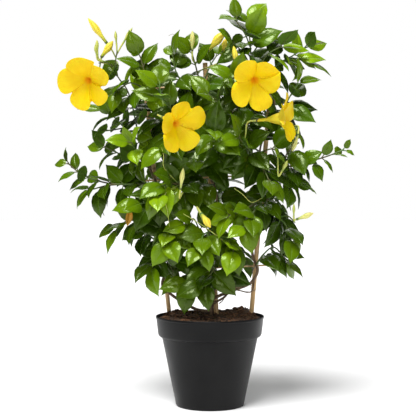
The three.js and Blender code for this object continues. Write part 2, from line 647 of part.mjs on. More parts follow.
function makeWood() {
  const trunk = bentCylinder(
    [
      vector(TRUNK.x, TRUNK.y, TRUNK.foot),
      vector(TRUNK.x, TRUNK.y, 128),
      vector(TRUNK.x - 0.6, TRUNK.y - 0.6, 150),
      seen([4, 168, 9]),
    ],
    (share) => TRUNK.radius - TRUNK.taper * share,
    TRUNK.sides,
  );
  const stems = Object.values(WOOD).map((stem) => bentCylinder(stem.route.knots, stem.radiusAt, WOOD_SIDES));
  const strands = STRANDS.map(({ via, radius }) => bentCylinder(via.map(seen), () => radius, STRAND_SIDES));
  return wasm.Manifold.union([trunk, ...stems, ...strands]).simplify(BARK_SHED);
}

// The point of a woody stem at a height, on the part that climbs its cane.
function woodAt(name, height) {
  const { route, radiusAt } = WOOD[name];
  let share = 1;
  while (share > 0 && route.at(share).point.z > height) share -= 0.002;
  return { ...route.at(share), radius: radiusAt(share) };
}

// Where a shoot leaves a woody stem, near a height and apart from the other shoots, and its first places.
// It starts on the side away from the cane, and goes round the cane if it is bound for the other side.
const SHOOTS_APART = 13;
const ROUND_CANE = 13;
const SEEK = { reach: 40, step: 4 }; // how far above and below its height a shoot may start
const taken = [];

function shootStart(name, height, target) {
  const { climb } = WOOD[name];
  let best = null;
  for (let off = -SEEK.reach; off <= SEEK.reach; off += SEEK.step) {
    const found = woodAt(name, THREE.MathUtils.clamp(height + off, climb[0], climb[1] - SEEK.step));
    if (taken.some((place) => place.distanceTo(found.point) < SHOOTS_APART)) continue;
    const centre = canePoint(CANES[name], found.point.z);
    const fromCane = found.point.clone().sub(centre).setZ(0).normalize();
    const going = target.clone().sub(centre).setZ(0).normalize();
    const cost = Math.abs(off) / SEEK.reach + Math.max(0, 0.4 - fromCane.dot(going)) * 2;
    if (!best || cost < best.cost) best = { ...found, centre, fromCane, going, cost };
  }
  taken.push(best.point);
  const away = best.fromCane.clone().addScaledVector(best.going, 0.7).normalize();
  const start = best.point.clone().addScaledVector(away, best.radius + GAP + STEM.seat);
  const places = [start, start.clone().addScaledVector(away, 6)];
  const agrees = best.fromCane.dot(best.going);
  if (agrees < 0.1) {
    const beside = best.going.clone().addScaledVector(best.fromCane, -agrees).normalize();
    places.push(best.centre.clone().addScaledVector(beside, ROUND_CANE).add(vector(0, 0, 3)));
  }
  return places;
}

// Leaves

// A leaf's half-width, u of the way from its foot to its tip, against its greatest half-width.
const leafHalf = (u) => (u ** 0.75 * (1 - u) ** 1.05) / 0.2944;
const LEAF_STATIONS = [0.28, 0.68];

// A point of a leaf's blade: u of the way from its foot to its tip, and v from edge to edge, -1 to 1.
// The blade arches down by its curl, and its halves are folded up from the rib.
function bladePoint(leaf, u, v, half = leafHalf(u)) {
  const angle = leaf.curl * u;
  const forward = (leaf.length * Math.sin(angle)) / leaf.curl;
  const down = (leaf.length * (1 - Math.cos(angle))) / leaf.curl;
  const reach = (Math.abs(v) * half * leaf.width) / 2;
  const raise = reach * Math.sin(leaf.fold);
  return leaf.base
    .clone()
    .addScaledVector(leaf.heading, forward + raise * Math.sin(angle))
    .addScaledVector(leaf.face, -down + raise * Math.cos(angle))
    .addScaledVector(leaf.side, Math.sign(v) * reach * Math.cos(leaf.fold));
}

const bladeFace = (leaf, u) => leaf.face.clone()
  .multiplyScalar(Math.cos(leaf.curl * u))
  .addScaledVector(leaf.heading, Math.sin(leaf.curl * u));

const rotated = (points, shift) => [...points.slice(shift), ...points.slice(0, shift)];

// A closed mesh that grows ring by ring; every ring lists its corners anticlockwise as seen from ahead.
class Growth {
  constructor() {
    this.places = [];
    this.faces = [];
  }

  corners(points) {
    return points.map((point) => this.places.push(point) - 1);
  }

  // Walls from one ring to the next, leaving out the given faces' upper triangles.
  wall(ring, next, open = []) {
    ring.forEach((a, k) => {
      const [b, c, d] = [ring[(k + 1) % ring.length], next[(k + 1) % ring.length], next[k]];
      this.faces.push([a, b, c]);
      if (!open.includes(k)) this.faces.push([a, c, d]);
    });
  }

  close(ring, point) {
    const [tip] = this.corners([point]);
    ring.forEach((a, k) => this.faces.push([a, ring[(k + 1) % ring.length], tip]));
  }

  cap(ring) {
    for (let k = 1; k + 1 < ring.length; k++) this.faces.push([ring[0], ring[k + 1], ring[k]]);
  }

  // A blade on an open triangle of the mesh; its first ring is turned to twist as little as it can.
  graft(foot, leafRings, tip) {
    const middle = (points) => points
      .reduce((sum, p) => sum.add(p), vector(0, 0, 0))
      .divideScalar(points.length);
    const from = foot.map((i) => this.places[i]);
    const [fromMiddle, toMiddle] = [middle(from), middle(leafRings[0])];
    const match = (shift) => from.reduce((sum, p, k) => {
      const to = leafRings[0][(k + shift) % 3];
      return sum + p.clone().sub(fromMiddle).normalize().dot(to.clone().sub(toMiddle).normalize());
    }, 0);
    const shift = [0, 1, 2].reduce((best, tried) => (match(tried) > match(best) ? tried : best), 0);
    let ring = foot;
    for (const points of leafRings) {
      const next = this.corners(rotated(points, shift));
      this.wall(ring, next);
      ring = next;
    }
    this.close(ring, tip);
  }

  solid() {
    const geometry = new THREE.BufferGeometry();
    const places = this.places.flatMap((place) => place.toArray());
    geometry.setAttribute("position", new THREE.Float32BufferAttribute(places, 3));
    geometry.setIndex(this.faces.flat());
    return solidOf(geometry);
  }
}

// The corners of a blade at a station: its two edges, and its keel below the rib.
function bladeRing(leaf, u, half) {
  const keel = bladePoint(leaf, u, 0).addScaledVector(bladeFace(leaf, u), -BLADE_THICK);
  return [bladePoint(leaf, u, -1, half), bladePoint(leaf, u, 1, half), keel];
}

const leafRings = (leaf) => LEAF_STATIONS.map((u) => bladeRing(leaf, u, leafHalf(u)));

// A shoot's places along its route: frames that turn as little as they can, its radius, and the angle of
// its three corners. Two places close together at each pair of leaves leave faces for them to grow from.
function shootPlaces(shoot) {
  const shares = [0];
  for (let pair = 0; pair < shoot.pairs; pair++) {
    const share = lerp(shoot.first, shoot.last, shoot.pairs > 1 ? pair / (shoot.pairs - 1) : 0);
    const half = STEM.node / 2 / shoot.route.length;
    shares.push(share - half, share + half);
  }
  if (shoot.pairs === 0) shares.push(0.5);
  let across = null;
  return shares.map((share, i) => {
    const { point, along } = shoot.route.at(share);
    if (!across) across = Math.abs(along.z) > 0.9 ? vector(1, 0, 0) : vector(0, 0, 1);
    across = across.clone().addScaledVector(along, -across.dot(along)).normalize();
    const beside = along.clone().cross(across);
    const pair = Math.max(0, Math.floor((i - 1) / 2));
    const angle = degrees(shoot.turn - 30 * pair);
    const x = across;
    const way = (turn) => x.clone().multiplyScalar(Math.cos(turn)).addScaledVector(beside, Math.sin(turn));
    const radius = shoot.width(share) * (i === 0 ? STEM.footShare : 1);
    const corners = [0, 120, 240].map(
      (turned) => point.clone().addScaledVector(way(angle + degrees(turned)), radius),
    );
    return { point, along, way, angle, corners };
  });
}

// The face of a shoot's three that a leaf of a pair grows from.
const faceOf = (pair, side) => (pair + side) % 3;

function shootSolid(shoot) {
  const growth = new Growth();
  let ring = growth.corners(shoot.places[0].corners);
  growth.cap(ring);
  shoot.places.slice(1).forEach(({ corners }, i) => {
    const next = growth.corners(corners);
    const borne = i % 2 === 1 ? shoot.leaves.filter((leaf) => leaf.pair === (i - 1) / 2) : [];
    growth.wall(ring, next, borne.map((leaf) => leaf.grown));
    for (const leaf of borne) {
      const k = leaf.grown;
      growth.graft([ring[k], next[(k + 1) % 3], next[k]], leafRings(leaf), bladePoint(leaf, 1, 0));
    }
    ring = next;
  });
  growth.close(ring, shoot.route.at(1).point);
  return growth.solid();
}

// The leaf that a shoot would bear: pairs stand opposite each other, each pair crosswise to the last,
// and each blade is turned towards the light above and outside. Each further attempt turns it more wildly.
function leafAt(shoot, pair, side, attempt) {
  const random = randomFrom(shoot.seed + pair * 101 + side * 37 + attempt * 7919);
  const spread = () => random() * 2 - 1;
  const wild = 1 + attempt * 0.15;
  const share = shoot.pairs > 1 ? pair / (shoot.pairs - 1) : 0;
  const { point, along, way, angle } = shoot.places[2 + pair * 2];
  const grown = faceOf(pair, side);
  const faceAngle = angle + degrees(60 + 120 * grown);
  const azimuth = faceAngle + degrees((side === 0 ? -30 : 30) + spread() * 25 * wild);
  const out = vector(point.x * 0.7, point.y - LIGHT_FROM, 0).normalize();
  const normal = way(faceAngle);
  const heading = way(azimuth)
    .addScaledVector(along, 0.4 + 0.25 * spread() + share * share)
    .addScaledVector(out, 0.3 + 0.2 * spread())
    .addScaledVector(UP, (-0.45 - 0.3 * random() * wild) * (1 - share * share))
    .normalize();
  const facing = heading.dot(normal);
  if (facing < FACING) heading.addScaledVector(normal, FACING - facing).normalize();
  const light = 0.4 + 0.4 * THREE.MathUtils.clamp((point.z - 250) / 300, 0, 1);
  const face = UP.clone()
    .multiplyScalar(light)
    .addScaledVector(out, 1)
    .add(vector(spread() * 0.4 * wild, spread() * 0.25 * wild, spread() * 0.2 * wild));
  face.addScaledVector(heading, -face.dot(heading)).normalize();
  const length = lerp(shoot.leaf[0], shoot.leaf[1], share) * (1 + 0.1 * spread());
  return {
    pair,
    grown,
    heading,
    face,
    side: heading.clone().cross(face),
    base: point.clone().addScaledVector(heading, PETIOLE * (0.8 + 0.4 * random())),
    length,
    width: length * (0.6 + 0.14 * random()),
    curl: 0.35 + 0.75 * random(),
    fold: 0.02 + 0.2 * random(),
  };
}

const SAMPLE_STEP = 4.2;

function samplesOf(leaf) {
  const points = [];
  const rows = Math.ceil(leaf.length / SAMPLE_STEP);
  for (let i = 1; i <= rows; i++) {
    const u = i / rows;
    const half = leafHalf(Math.min(u, 0.999));
    const columns = Math.ceil((half * leaf.width) / SAMPLE_STEP);
    for (let j = 0; j <= columns; j++) {
      const v = columns ? (2 * j) / columns - 1 : 0;
      points.push(bladePoint(leaf, u, v, half));
    }
  }
  return points;
}

const POT_CLEAR = { beside: 4, above: 6, soil: 5, ground: 12 };
const OWN_STEM = 11; // a leaf may come near its own shoot this far from where it grows

function clearsPot(p) {
  const reach = Math.hypot(p.x, p.y);
  if (reach > POT.rimRadius + POT_CLEAR.beside) return p.z > POT_CLEAR.ground;
  return p.z > POT.height + POT_CLEAR.above && p.z > soilHeight(p.x, p.y) + POT_CLEAR.soil;
}

function leafFits(leaf, owner) {
  const own = (other) => other.shoot === owner.shoot && other.place !== undefined &&
    other.place.distanceTo(owner.place) < OWN_STEM;
  return samplesOf(leaf).every((p) => clearsPot(p) && room.clear(p, LEAF_ROOM / 2, own));
}

// Buds and blooms

// A bud's outline: radius as a share of its girth, and place as a share of its length.
const BUD_OUTLINE = [[0, 0], [0.45, 0.01], [0.55, 0.25], [1, 0.55], [0.72, 0.77], [0, 1]];
const BUD_SIDES = 6;
const GREEN_BUD_SIDES = 5;
const GREEN_BUD_GRIP = 2.5; // how far a green bud's stalk runs into it

function budSolid(foot, tip, girth, sides) {
  const length = foot.distanceTo(tip);
  const outline = BUD_OUTLINE.map(([r, z]) => new THREE.Vector2(r * girth, z * length));
  const geometry = new THREE.LatheGeometry(outline, sides);
  geometry.applyQuaternion(
    new THREE.Quaternion().setFromUnitVectors(vector(0, 1, 0), tip.clone().sub(foot).normalize()),
  );
  geometry.translate(foot.x, foot.y, foot.z);
  return solidOf(geometry);
}

// Half-width of a flower's lobe: narrow at its claw, broad and blunt at its end, and a little lopsided.
const LOBE_ROOT = 0.36;
const LOBE_RINGS = [[0.55, 0.96], [0.88, 0.76]];
const LOBE_TIP = 0.12;

function lobeSolid(turn, size) {
  const { throatRadius, lobeLength, lobeWidth, lobeSplay, lobeCurl, lobeTilt } = COROLLA;
  const out = vector(Math.cos(turn), Math.sin(turn), 0);
  const axis = vector(0, 0, 1);
  const heading = out.clone().multiplyScalar(Math.sin(lobeSplay)).addScaledVector(axis, Math.cos(lobeSplay));
  const level = axis.clone().cross(out);
  const face = heading.clone().cross(level).multiplyScalar(-1);
  const side = level.clone().applyAxisAngle(heading, lobeTilt);
  const lobe = {
    base: out.clone().multiplyScalar((throatRadius - 0.8) * size).addScaledVector(axis, -1.5 * size),
    heading,
    face: face.clone().applyAxisAngle(heading, lobeTilt),
    side,
    length: lobeLength * size,
    width: lobeWidth * size,
    curl: lobeCurl,
    fold: 0.0001,
  };
  const growth = new Growth();
  const sunk = { ...lobe, base: lobe.base.clone().addScaledVector(heading, -2 * size) };
  const foot = growth.corners(bladeRing(sunk, 0, LOBE_ROOT));
  growth.cap(foot);
  const rings = LOBE_RINGS.map(([u, half]) => bladeRing(lobe, u, half));
  growth.graft(foot, rings, bladePoint(lobe, 1, LOBE_TIP, 1));
  return growth.solid();
}

function corollaSolid(size, lobes) {
  const { tubeLength, tubeRadius, tubeShare, throatRadius, wall, throatDepth, sides } = COROLLA;
  const funnel = lathe(
    [
      [0, -tubeLength],
      [tubeRadius, -tubeLength],
      [tubeRadius, -tubeLength * (1 - tubeShare)],
      [throatRadius * 0.72, -tubeLength * 0.28],
      [throatRadius, 0],
      [throatRadius - wall, 0.2],
      [throatRadius * 0.72 - wall, -tubeLength * 0.26],
      [0, -throatDepth],
    ].map(([r, z]) => [r * size, z * size]),
    sides,
  );
  return wasm.Manifold.union([funnel, ...lobes.map((angle) => lobeSolid(degrees(angle), size))])
    .simplify(SHED);
}

function placed(made, throat, facing) {
  const matrix = new THREE.Matrix4()
    .makeTranslation(throat.x, throat.y, throat.z)
    .multiply(new THREE.Matrix4().makeRotationFromQuaternion(
      new THREE.Quaternion().setFromUnitVectors(vector(0, 0, 1), facing),
    ));
  return made.transform(matrix.toArray());
}

// The stalk of a bud or a bloom, from its shoot to the foot of the flower.
function stalkRoute(shoot, at, foot, away) {
  const from = shoot.route.at(at);
  const reach = from.point.distanceTo(foot);
  const end = foot.clone().addScaledVector(away, -3 * GAP);
  const before = end.clone().addScaledVector(away, -Math.min(12, reach * 0.4));
  return new Route([from.point, before, end], STALK.step);
}

const HOLE = { sides: 10, clear: 60 };

// The soil, with a socket for each cane and for the trunk.
function makeSoil() {
  const above = SOIL.level + HOLE.clear;
  const holes = Object.values(CANES).map((cane) => bentCylinder(
    [canePoint(cane, CANE_FOOT - GAP), canePoint(cane, above)],
    () => cane.radius * CANE_SWELL + 2 * GAP,
    HOLE.sides,
  ));
  holes.push(bentCylinder(
    [vector(TRUNK.x, TRUNK.y, TRUNK.foot - GAP), vector(TRUNK.x, TRUNK.y, above)],
    () => TRUNK.radius + 2 * GAP,
    HOLE.sides,
  ));
  return holes.reduce((soil, hole) => soil.subtract(hole), soilBlank());
}

// Assembly

const root = new THREE.Group();
const add = (name, made, colour) => root.add(meshOf(name, made, COLOURS[colour]));

add("pot", makePot(), "pot");

add("soil", makeSoil(), "soil");
for (const [name, cane] of Object.entries(CANES)) add(`cane_${name}`, makeCane(cane), "cane");
for (const bar of BARS) add(bar.name, makeBar(bar), "cane");
for (const bar of BARS) {
  for (const [name, cane] of Object.entries(CANES)) {
    add(`tie_${bar.name.slice(4)}_${name}`, makeTie(cane, bar), "wire");
  }
}
add("woody_stems", makeWood(), "wood");

// What the leaves keep clear of
const AROUND = { cane: 1.5, bar: 1, wood: 1, stem: 0.6, bud: 0.5, greenBud: 0.3, petal: 1 };

for (const cane of Object.values(CANES)) {
  for (let z = CANE_FOOT; z <= cane.top; z += WALK) {
    room.add(canePoint(cane, z), cane.radius + AROUND.cane, {});
  }
}
for (const bar of BARS) {
  for (let x = bar.from; x <= bar.to; x += WALK) {
    room.add(vector(x, barY, barHeight(bar, x)), BAR_RADIUS + AROUND.bar, {});
  }
}
for (const stem of Object.values(WOOD)) {
  stem.route.walk(WALK).forEach((p) => room.add(p, stem.radius + AROUND.wood, {}));
}
for (const { via, radius } of STRANDS) {
  new Route(via.map(seen), STEM.step).walk(WALK).forEach((p) => room.add(p, radius + AROUND.wood, {}));
}

// Shoots first, then the flowers, so that the leaves give way to both
const shootOf = (spec) => SPRAYS.find((s) => s.name === spec.spray).shoots[spec.shoot];

SPRAYS.forEach((spray, i) => {
  spray.shoots.forEach((shoot, j) => {
    const via = shoot.via.map(seen);
    if (j === 0) {
      via.unshift(...shootStart(spray.wood, spray.height, via[0]));
      shoot.width = (share) => lerp(STEM.radius, STEM.tipRadius, share);
    } else {
      const parent = spray.shoots[shoot.on];
      via.unshift(parent.route.at(shoot.at).point);
      const thick = parent.width(shoot.at) * 0.95;
      shoot.width = (share) => lerp(thick, STEM.tipRadius, share);
    }
    shoot.route = new Route(via, STEM.step);
    shoot.seed = i * 100003 + j * 10007 + 11;
    shoot.first = Math.min(0.5, FIRST_PAIR / shoot.route.length);
    shoot.last = LAST_PAIR;
    if (shoot.pairs > 1) shoot.pairs = Math.max(shoot.pairs, Math.round(shoot.route.length / PAIR_STEP));
    shoot.route.walk(WALK).forEach((place) => room.add(place, STEM.radius + AROUND.stem, { shoot, place }));
    shoot.places = shootPlaces(shoot);
    shoot.leaves = [];
    shoot.solids = [];
  });
});

function growStalk(spec, foot, away) {
  const shoot = shootOf(spec);
  const route = stalkRoute(shoot, spec.at, foot, away);
  route.walk(WALK).forEach((place) => room.add(place, STALK.radius + AROUND.stem, { shoot, place }));
  const radiusAt = (share) => STALK.radius * (1 + STALK.swell * share);
  shoot.solids.push(bentCylinder(route.knots, radiusAt, STALK.sides));
}

function claim(from, to, radiusAt) {
  const steps = Math.ceil(from.distanceTo(to) / WALK);
  for (let i = 0; i <= steps; i++) room.add(from.clone().lerp(to, i / steps), radiusAt(i / steps), {});
}

for (const bud of BUDS) {
  const [foot, tip] = [seen(bud.foot), seen(bud.tip)];
  growStalk(bud, foot, tip.clone().sub(foot).normalize());
  claim(foot, tip, () => bud.girth + AROUND.bud);
  add(bud.name, budSolid(foot, tip, bud.girth, BUD_SIDES), "bud");
}

for (const bud of GREEN_BUDS) {
  const [foot, tip] = [seen(bud.foot), seen(bud.tip)];
  const shoot = shootOf(bud);
  const away = tip.clone().sub(foot).normalize();
  growStalk(bud, foot.clone().addScaledVector(away, GREEN_BUD_GRIP), away);
  claim(foot, tip, () => bud.girth + AROUND.greenBud);
  shoot.solids.push(budSolid(foot, tip, bud.girth, GREEN_BUD_SIDES));
}

// A cloud of points over every face of a solid.
function claimFaces(made) {
  const data = made.getMesh();
  const corner = (i) => vector(...data.vertProperties.subarray(i * data.numProp, i * data.numProp + 3));
  for (let i = 0; i < data.numTri; i++) {
    const [a, b, c] = [0, 1, 2].map((k) => corner(data.triVerts[i * 3 + k]));
    const steps = Math.ceil(Math.max(a.distanceTo(b), b.distanceTo(c), c.distanceTo(a)) / WALK);
    for (let j = 0; j <= steps; j++) {
      for (let k = 0; j + k <= steps; k++) {
        const place = a.clone().lerp(b, j / steps).addScaledVector(c.clone().sub(a), k / steps);
        room.add(place, AROUND.petal, {});
      }
    }
  }
}

for (const bloom of BLOOMS) {
  const throat = seen(bloom.throat);
  const facing = vector(...bloom.facing).normalize();
  const foot = throat.clone().addScaledVector(facing, -COROLLA.tubeLength * bloom.size);
  growStalk(bloom, foot, facing);
  const made = placed(corollaSolid(bloom.size, bloom.lobes), throat, facing);
  claim(foot, throat, (share) => lerp(COROLLA.tubeRadius, COROLLA.throatRadius, share) + 0.5);
  claimFaces(made);
  add(bloom.name, made, "petal");
}

// The first way for a leaf to turn in which it finds room, or null.
function growLeaf(shoot, pair, side) {
  const owner = { shoot, place: shoot.places[2 + pair * 2].point };
  for (let attempt = 0; attempt < LEAF_TRIES; attempt++) {
    const leaf = leafAt(shoot, pair, side, attempt);
    if (leafFits(leaf, owner)) return leaf;
  }
  return null;
}

for (const spray of SPRAYS) {
  for (const shoot of spray.shoots) {
    for (let pair = 0; pair < shoot.pairs; pair++) {
      for (let side = 0; side < 2; side++) {
        const leaf = growLeaf(shoot, pair, side);
        if (!leaf) continue;
        samplesOf(leaf).forEach((p) => room.add(p, LEAF_ROOM / 2, {}));
        shoot.leaves.push(leaf);
      }
    }
    shoot.solids.push(shootSolid(shoot));
  }
  const grown = wasm.Manifold.union(spray.shoots.flatMap((shoot) => shoot.solids)).simplify(SHED);
  const [made] = grown.decompose().sort((a, b) => b.volume() - a.volume());
  add(spray.name, made, spray.shoots.some((shoot) => shoot.young) ? "youngLeaf" : "leaf");
}

export default root;
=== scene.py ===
"""Looks of a potted yellow mandevilla that is trained on a fan of three bamboo canes.

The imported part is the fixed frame: metres, +Z up, the origin under the pot, -Y the plant's front.
Each class builds one sub-assembly in millimetres from the part's own sizes and rules of growth, and
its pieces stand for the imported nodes. The leaves are drawn with the same seeds as the part's, so each
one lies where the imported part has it.
"""
import sys

import bisect
import logging
import math
from dataclasses import dataclass, field
from enum import Enum, IntEnum
from typing import Callable, Dict, Iterable, List, Optional, Sequence, Tuple, Union

import bmesh
import bpy
from mathutils import Matrix, Vector, noise
from mathutils.kdtree import KDTree


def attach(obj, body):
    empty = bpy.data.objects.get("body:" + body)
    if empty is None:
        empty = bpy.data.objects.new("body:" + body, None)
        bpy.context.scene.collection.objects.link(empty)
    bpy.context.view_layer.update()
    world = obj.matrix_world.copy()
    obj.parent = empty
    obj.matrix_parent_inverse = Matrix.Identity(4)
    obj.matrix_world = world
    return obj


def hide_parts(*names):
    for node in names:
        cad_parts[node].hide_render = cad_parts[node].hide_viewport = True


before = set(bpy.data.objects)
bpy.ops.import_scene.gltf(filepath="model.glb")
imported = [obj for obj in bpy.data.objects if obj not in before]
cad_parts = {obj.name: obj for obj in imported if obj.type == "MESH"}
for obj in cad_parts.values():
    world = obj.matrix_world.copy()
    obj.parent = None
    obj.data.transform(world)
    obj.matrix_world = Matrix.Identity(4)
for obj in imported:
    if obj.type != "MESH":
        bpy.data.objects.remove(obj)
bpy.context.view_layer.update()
LOG = logging.getLogger("mandevilla")

MM = 0.001
UP = Vector((0.0, 0.0, 1.0))
STEEP = 0.9  # beyond this rise a way counts as upright
WELD = 1e-3
Pair = Tuple[float, float]
Triple = Tuple[float, float, float]
Place = Colour = Triple
BMesh = bmesh.types.BMesh
Material = bpy.types.Material
Socket = bpy.types.NodeSocket
Tree = bpy.types.NodeTree


# Numbers and ways


def lerp(a: float, b: float, t: float) -> float:
    """Returns the value t of the way from a to b."""
    return a + (b - a) * t


def smoothstep(low: float, high: float, value: float) -> float:
    """Returns 0 below low, 1 above high, and a smooth rise between them."""
    t = min(1.0, max(0.0, (value - low) / (high - low)))
    return t * t * (3.0 - 2.0 * t)


def rounded(value: float) -> int:
    """Returns the nearest whole number, with halves rounded up."""
    return math.floor(value + 0.5)


def square(vector: Vector, axis: Vector) -> Vector:
    """Returns the direction nearest to a vector that stands square to an axis of length 1."""
    return (vector - axis * vector.dot(axis)).normalized()


def carried(across: Optional[Vector], along: Vector) -> Vector:
    """Returns the direction across a way, turned from the last one as little as it can be."""
    if across is None:
        across = Vector((1.0, 0.0, 0.0)) if abs(along.z) > STEEP else UP
    return square(across, along)


def lumps(place: Vector, waves: Iterable[Pair]) -> float:
    """Returns a smooth noise at a place: the sum of some waves, from their numbers per mm and heights."""
    return sum(noise.noise(place * per_mm) * rise for per_mm, rise in waves)


def hills(value: float, middles: Iterable[float], reach: float) -> float:
    """Returns the height at a value of rounded hills of height 1, that stand at some middles."""
    return sum(math.exp(-(((value - middle) / reach) ** 2)) for middle in middles)


@dataclass(frozen=True)
class Eye:
    """The level eye that the places of shoots, buds and blooms are given for."""

    distance: float = 1513.0
    height: float = 309.0

    def place(self, seen: Place) -> Vector:
        """Finds the point that the eye sees at a place of the upright plane through the pot's axis.

        Args:
            seen: x and z on that plane, and how far behind it the point lies.

        Returns:
            The point, in millimetres.
        """
        x, z, depth = seen
        share = (self.distance + depth) / self.distance
        return Vector((x * share, depth, self.height + (z - self.height) * share))

    def places(self, via: Iterable[Place]) -> List[Vector]:
        """Returns the points that the eye sees at some places."""
        return [self.place(seen) for seen in via]

    def seen(self, point: Vector) -> Place:
        """Returns the place at which the eye sees a point, and the point's depth."""
        share = (self.distance + point.y) / self.distance
        return point.x / share, self.height + (point.z - self.height) / share, point.y


EYE = Eye()


class Draws:
    """The small generator that gives every random draw, from a seed of its own for each leaf."""

    MASK = 0xFFFFFFFF
    STEP = 0x6D2B79F5

    def __init__(self, seed: int) -> None:
        """Starts the draws from a seed."""
        self.state = seed & self.MASK

    def next(self) -> float:
        """Returns the next draw, from 0 up to 1."""
        self.state = (self.state + self.STEP) & self.MASK
        t = ((self.state ^ (self.state >> 15)) * (self.state | 1)) & self.MASK
        t = ((t + ((t ^ (t >> 7)) * (t | 61))) & self.MASK) ^ t
        return (t ^ (t >> 14)) / 4294967296.0

    def spread(self) -> float:
        """Returns a draw from -1 to 1."""
        return self.next() * 2.0 - 1.0

    def between(self, low: float, high: float) -> float:
        """Returns a draw from low to high."""
        return lerp(low, high, self.next())

    def over(self, least: float, room: float) -> float:
        """Returns a draw from the least up to as much more as there is room."""
        return least + room * self.next()

    def around(self, middle: float, off: float) -> float:
        """Returns a draw that is at most some way off a middle."""
        return middle + off * self.spread()


def spline(points: Sequence[Vector], share: float) -> Vector:
    """Finds a point of a Catmull-Rom spline, whose ends run straight on.

    Args:
        points: what the spline passes through.
        share: how far along, from 0 to 1, with each leg taking up as much as the next.

    Returns:
        The point.
    """
    last = len(points) - 1
    at = min(max(share, 0.0), 1.0) * last
    leg = min(int(at), last - 1)
    t = at - leg
    a, b = points[leg], points[leg + 1]
    before = points[leg - 1] if leg > 0 else a * 2.0 - b
    after = points[leg + 2] if leg + 2 <= last else b * 2.0 - a
    leave, reach = (b - before) * 0.5, (after - a) * 0.5
    return (
        a
        + leave * t
        + (b * 3.0 - a * 3.0 - leave * 2.0 - reach) * t**2
        + (a * 2.0 - b * 2.0 + leave + reach) * t**3
    )


class Route:
    """A smooth way through some points: straight legs of about one step, and the spline through them."""

    PARTS = 200

    def __init__(self, via: Sequence[Vector], step: float) -> None:
        """Lays the way.

        Args:
            via: the points that it passes through.
            step: the length of a leg, in millimetres.
        """
        walked = [spline(via, i / self.PARTS) for i in range(self.PARTS + 1)]
        lengths = [0.0]
        for a, b in zip(walked, walked[1:]):
            lengths.append(lengths[-1] + (b - a).length)
        count = max(2, rounded(lengths[-1] / step))
        self.knots = [spline(via, self._share(lengths, i / count)) for i in range(count + 1)]
        self.reach = [0.0]
        for a, b in zip(self.knots, self.knots[1:]):
            self.reach.append(self.reach[-1] + (b - a).length)
        self.length = self.reach[-1]

    @staticmethod
    def _share(lengths: Sequence[float], share: float) -> float:
        """Returns where along the spline a share of its length is reached."""
        want = share * lengths[-1]
        i = min(max(bisect.bisect_left(lengths, want) - 1, 0), len(lengths) - 2)
        part = (want - lengths[i]) / (lengths[i + 1] - lengths[i])
        return (i + part) / (len(lengths) - 1)

    def at(self, share: float) -> Tuple[Vector, Vector]:
        """Returns the point at a share of the straight legs' length, and the direction there."""
        want = share * self.length
        i = 1
        while i < len(self.knots) - 1 and self.reach[i] < want:
            i += 1
        part = (want - self.reach[i - 1]) / (self.reach[i] - self.reach[i - 1])
        along = (self.knots[i] - self.knots[i - 1]).normalized()
        return self.knots[i - 1].lerp(self.knots[i], part), along

    def smooth(self, share: float) -> Vector:
        """Returns the point at a share of the spline through the knots."""
        return spline(self.knots, share)

    def path(self, step: float) -> List[Vector]:
        """Returns points of that spline about a step apart."""
        count = max(2, rounded(self.length / step))
        return [self.smooth(i / count) for i in range(count + 1)]


# Meshes


BLADE = "blade"  # along a leaf or petal from 0 to 1, across it from -1 to 1, and 1 above or 0 below
TONE = "tone"  # how young, how light and how withered; of wood and soil how marked
FRESH, DRY = 0.0, 1.0  # how withered a leaf is


def blank() -> BMesh:
    """Returns an empty mesh with the two layers that the finishes read."""
    bm = bmesh.new()
    bm.verts.layers.float_vector.new(BLADE)
    bm.verts.layers.float_color.new(TONE)
    return bm


def joined(parts: Iterable[BMesh]) -> BMesh:
    """Joins meshes into one, and frees them.

    Args:
        parts: the meshes, each with the layers of blank().

    Returns:
        The mesh of them all.
    """
    whole = blank()
    carrier = bpy.data.meshes.new("carrier")
    for part in parts:
        part.to_mesh(carrier)
        part.free()
        whole.from_mesh(carrier)
    bpy.data.meshes.remove(carrier)
    return whole


def stations(path: Sequence[Vector], radius_at: Callable[[float], float]) -> List[Matrix]:
    """Places the rings of a tube along a path, each turned from the last as little as it can be.

    Args:
        path: the points of the path.
        radius_at: the radius at a share of the path.

    Returns:
        One matrix for each point, that takes a unit circle there.
    """
    last = len(path) - 1
    across: Optional[Vector] = None
    frames = []
    for i, point in enumerate(path):
        along = (path[min(i + 1, last)] - path[max(i - 1, 0)]).normalized()
        across = carried(across, along)
        turn = Matrix((across, along.cross(across), along)).transposed().to_4x4()
        radius = radius_at(i / last)
        frames.append(Matrix.Translation(point) @ turn @ Matrix.Diagonal((radius, radius, radius, 1.0)))
    return frames


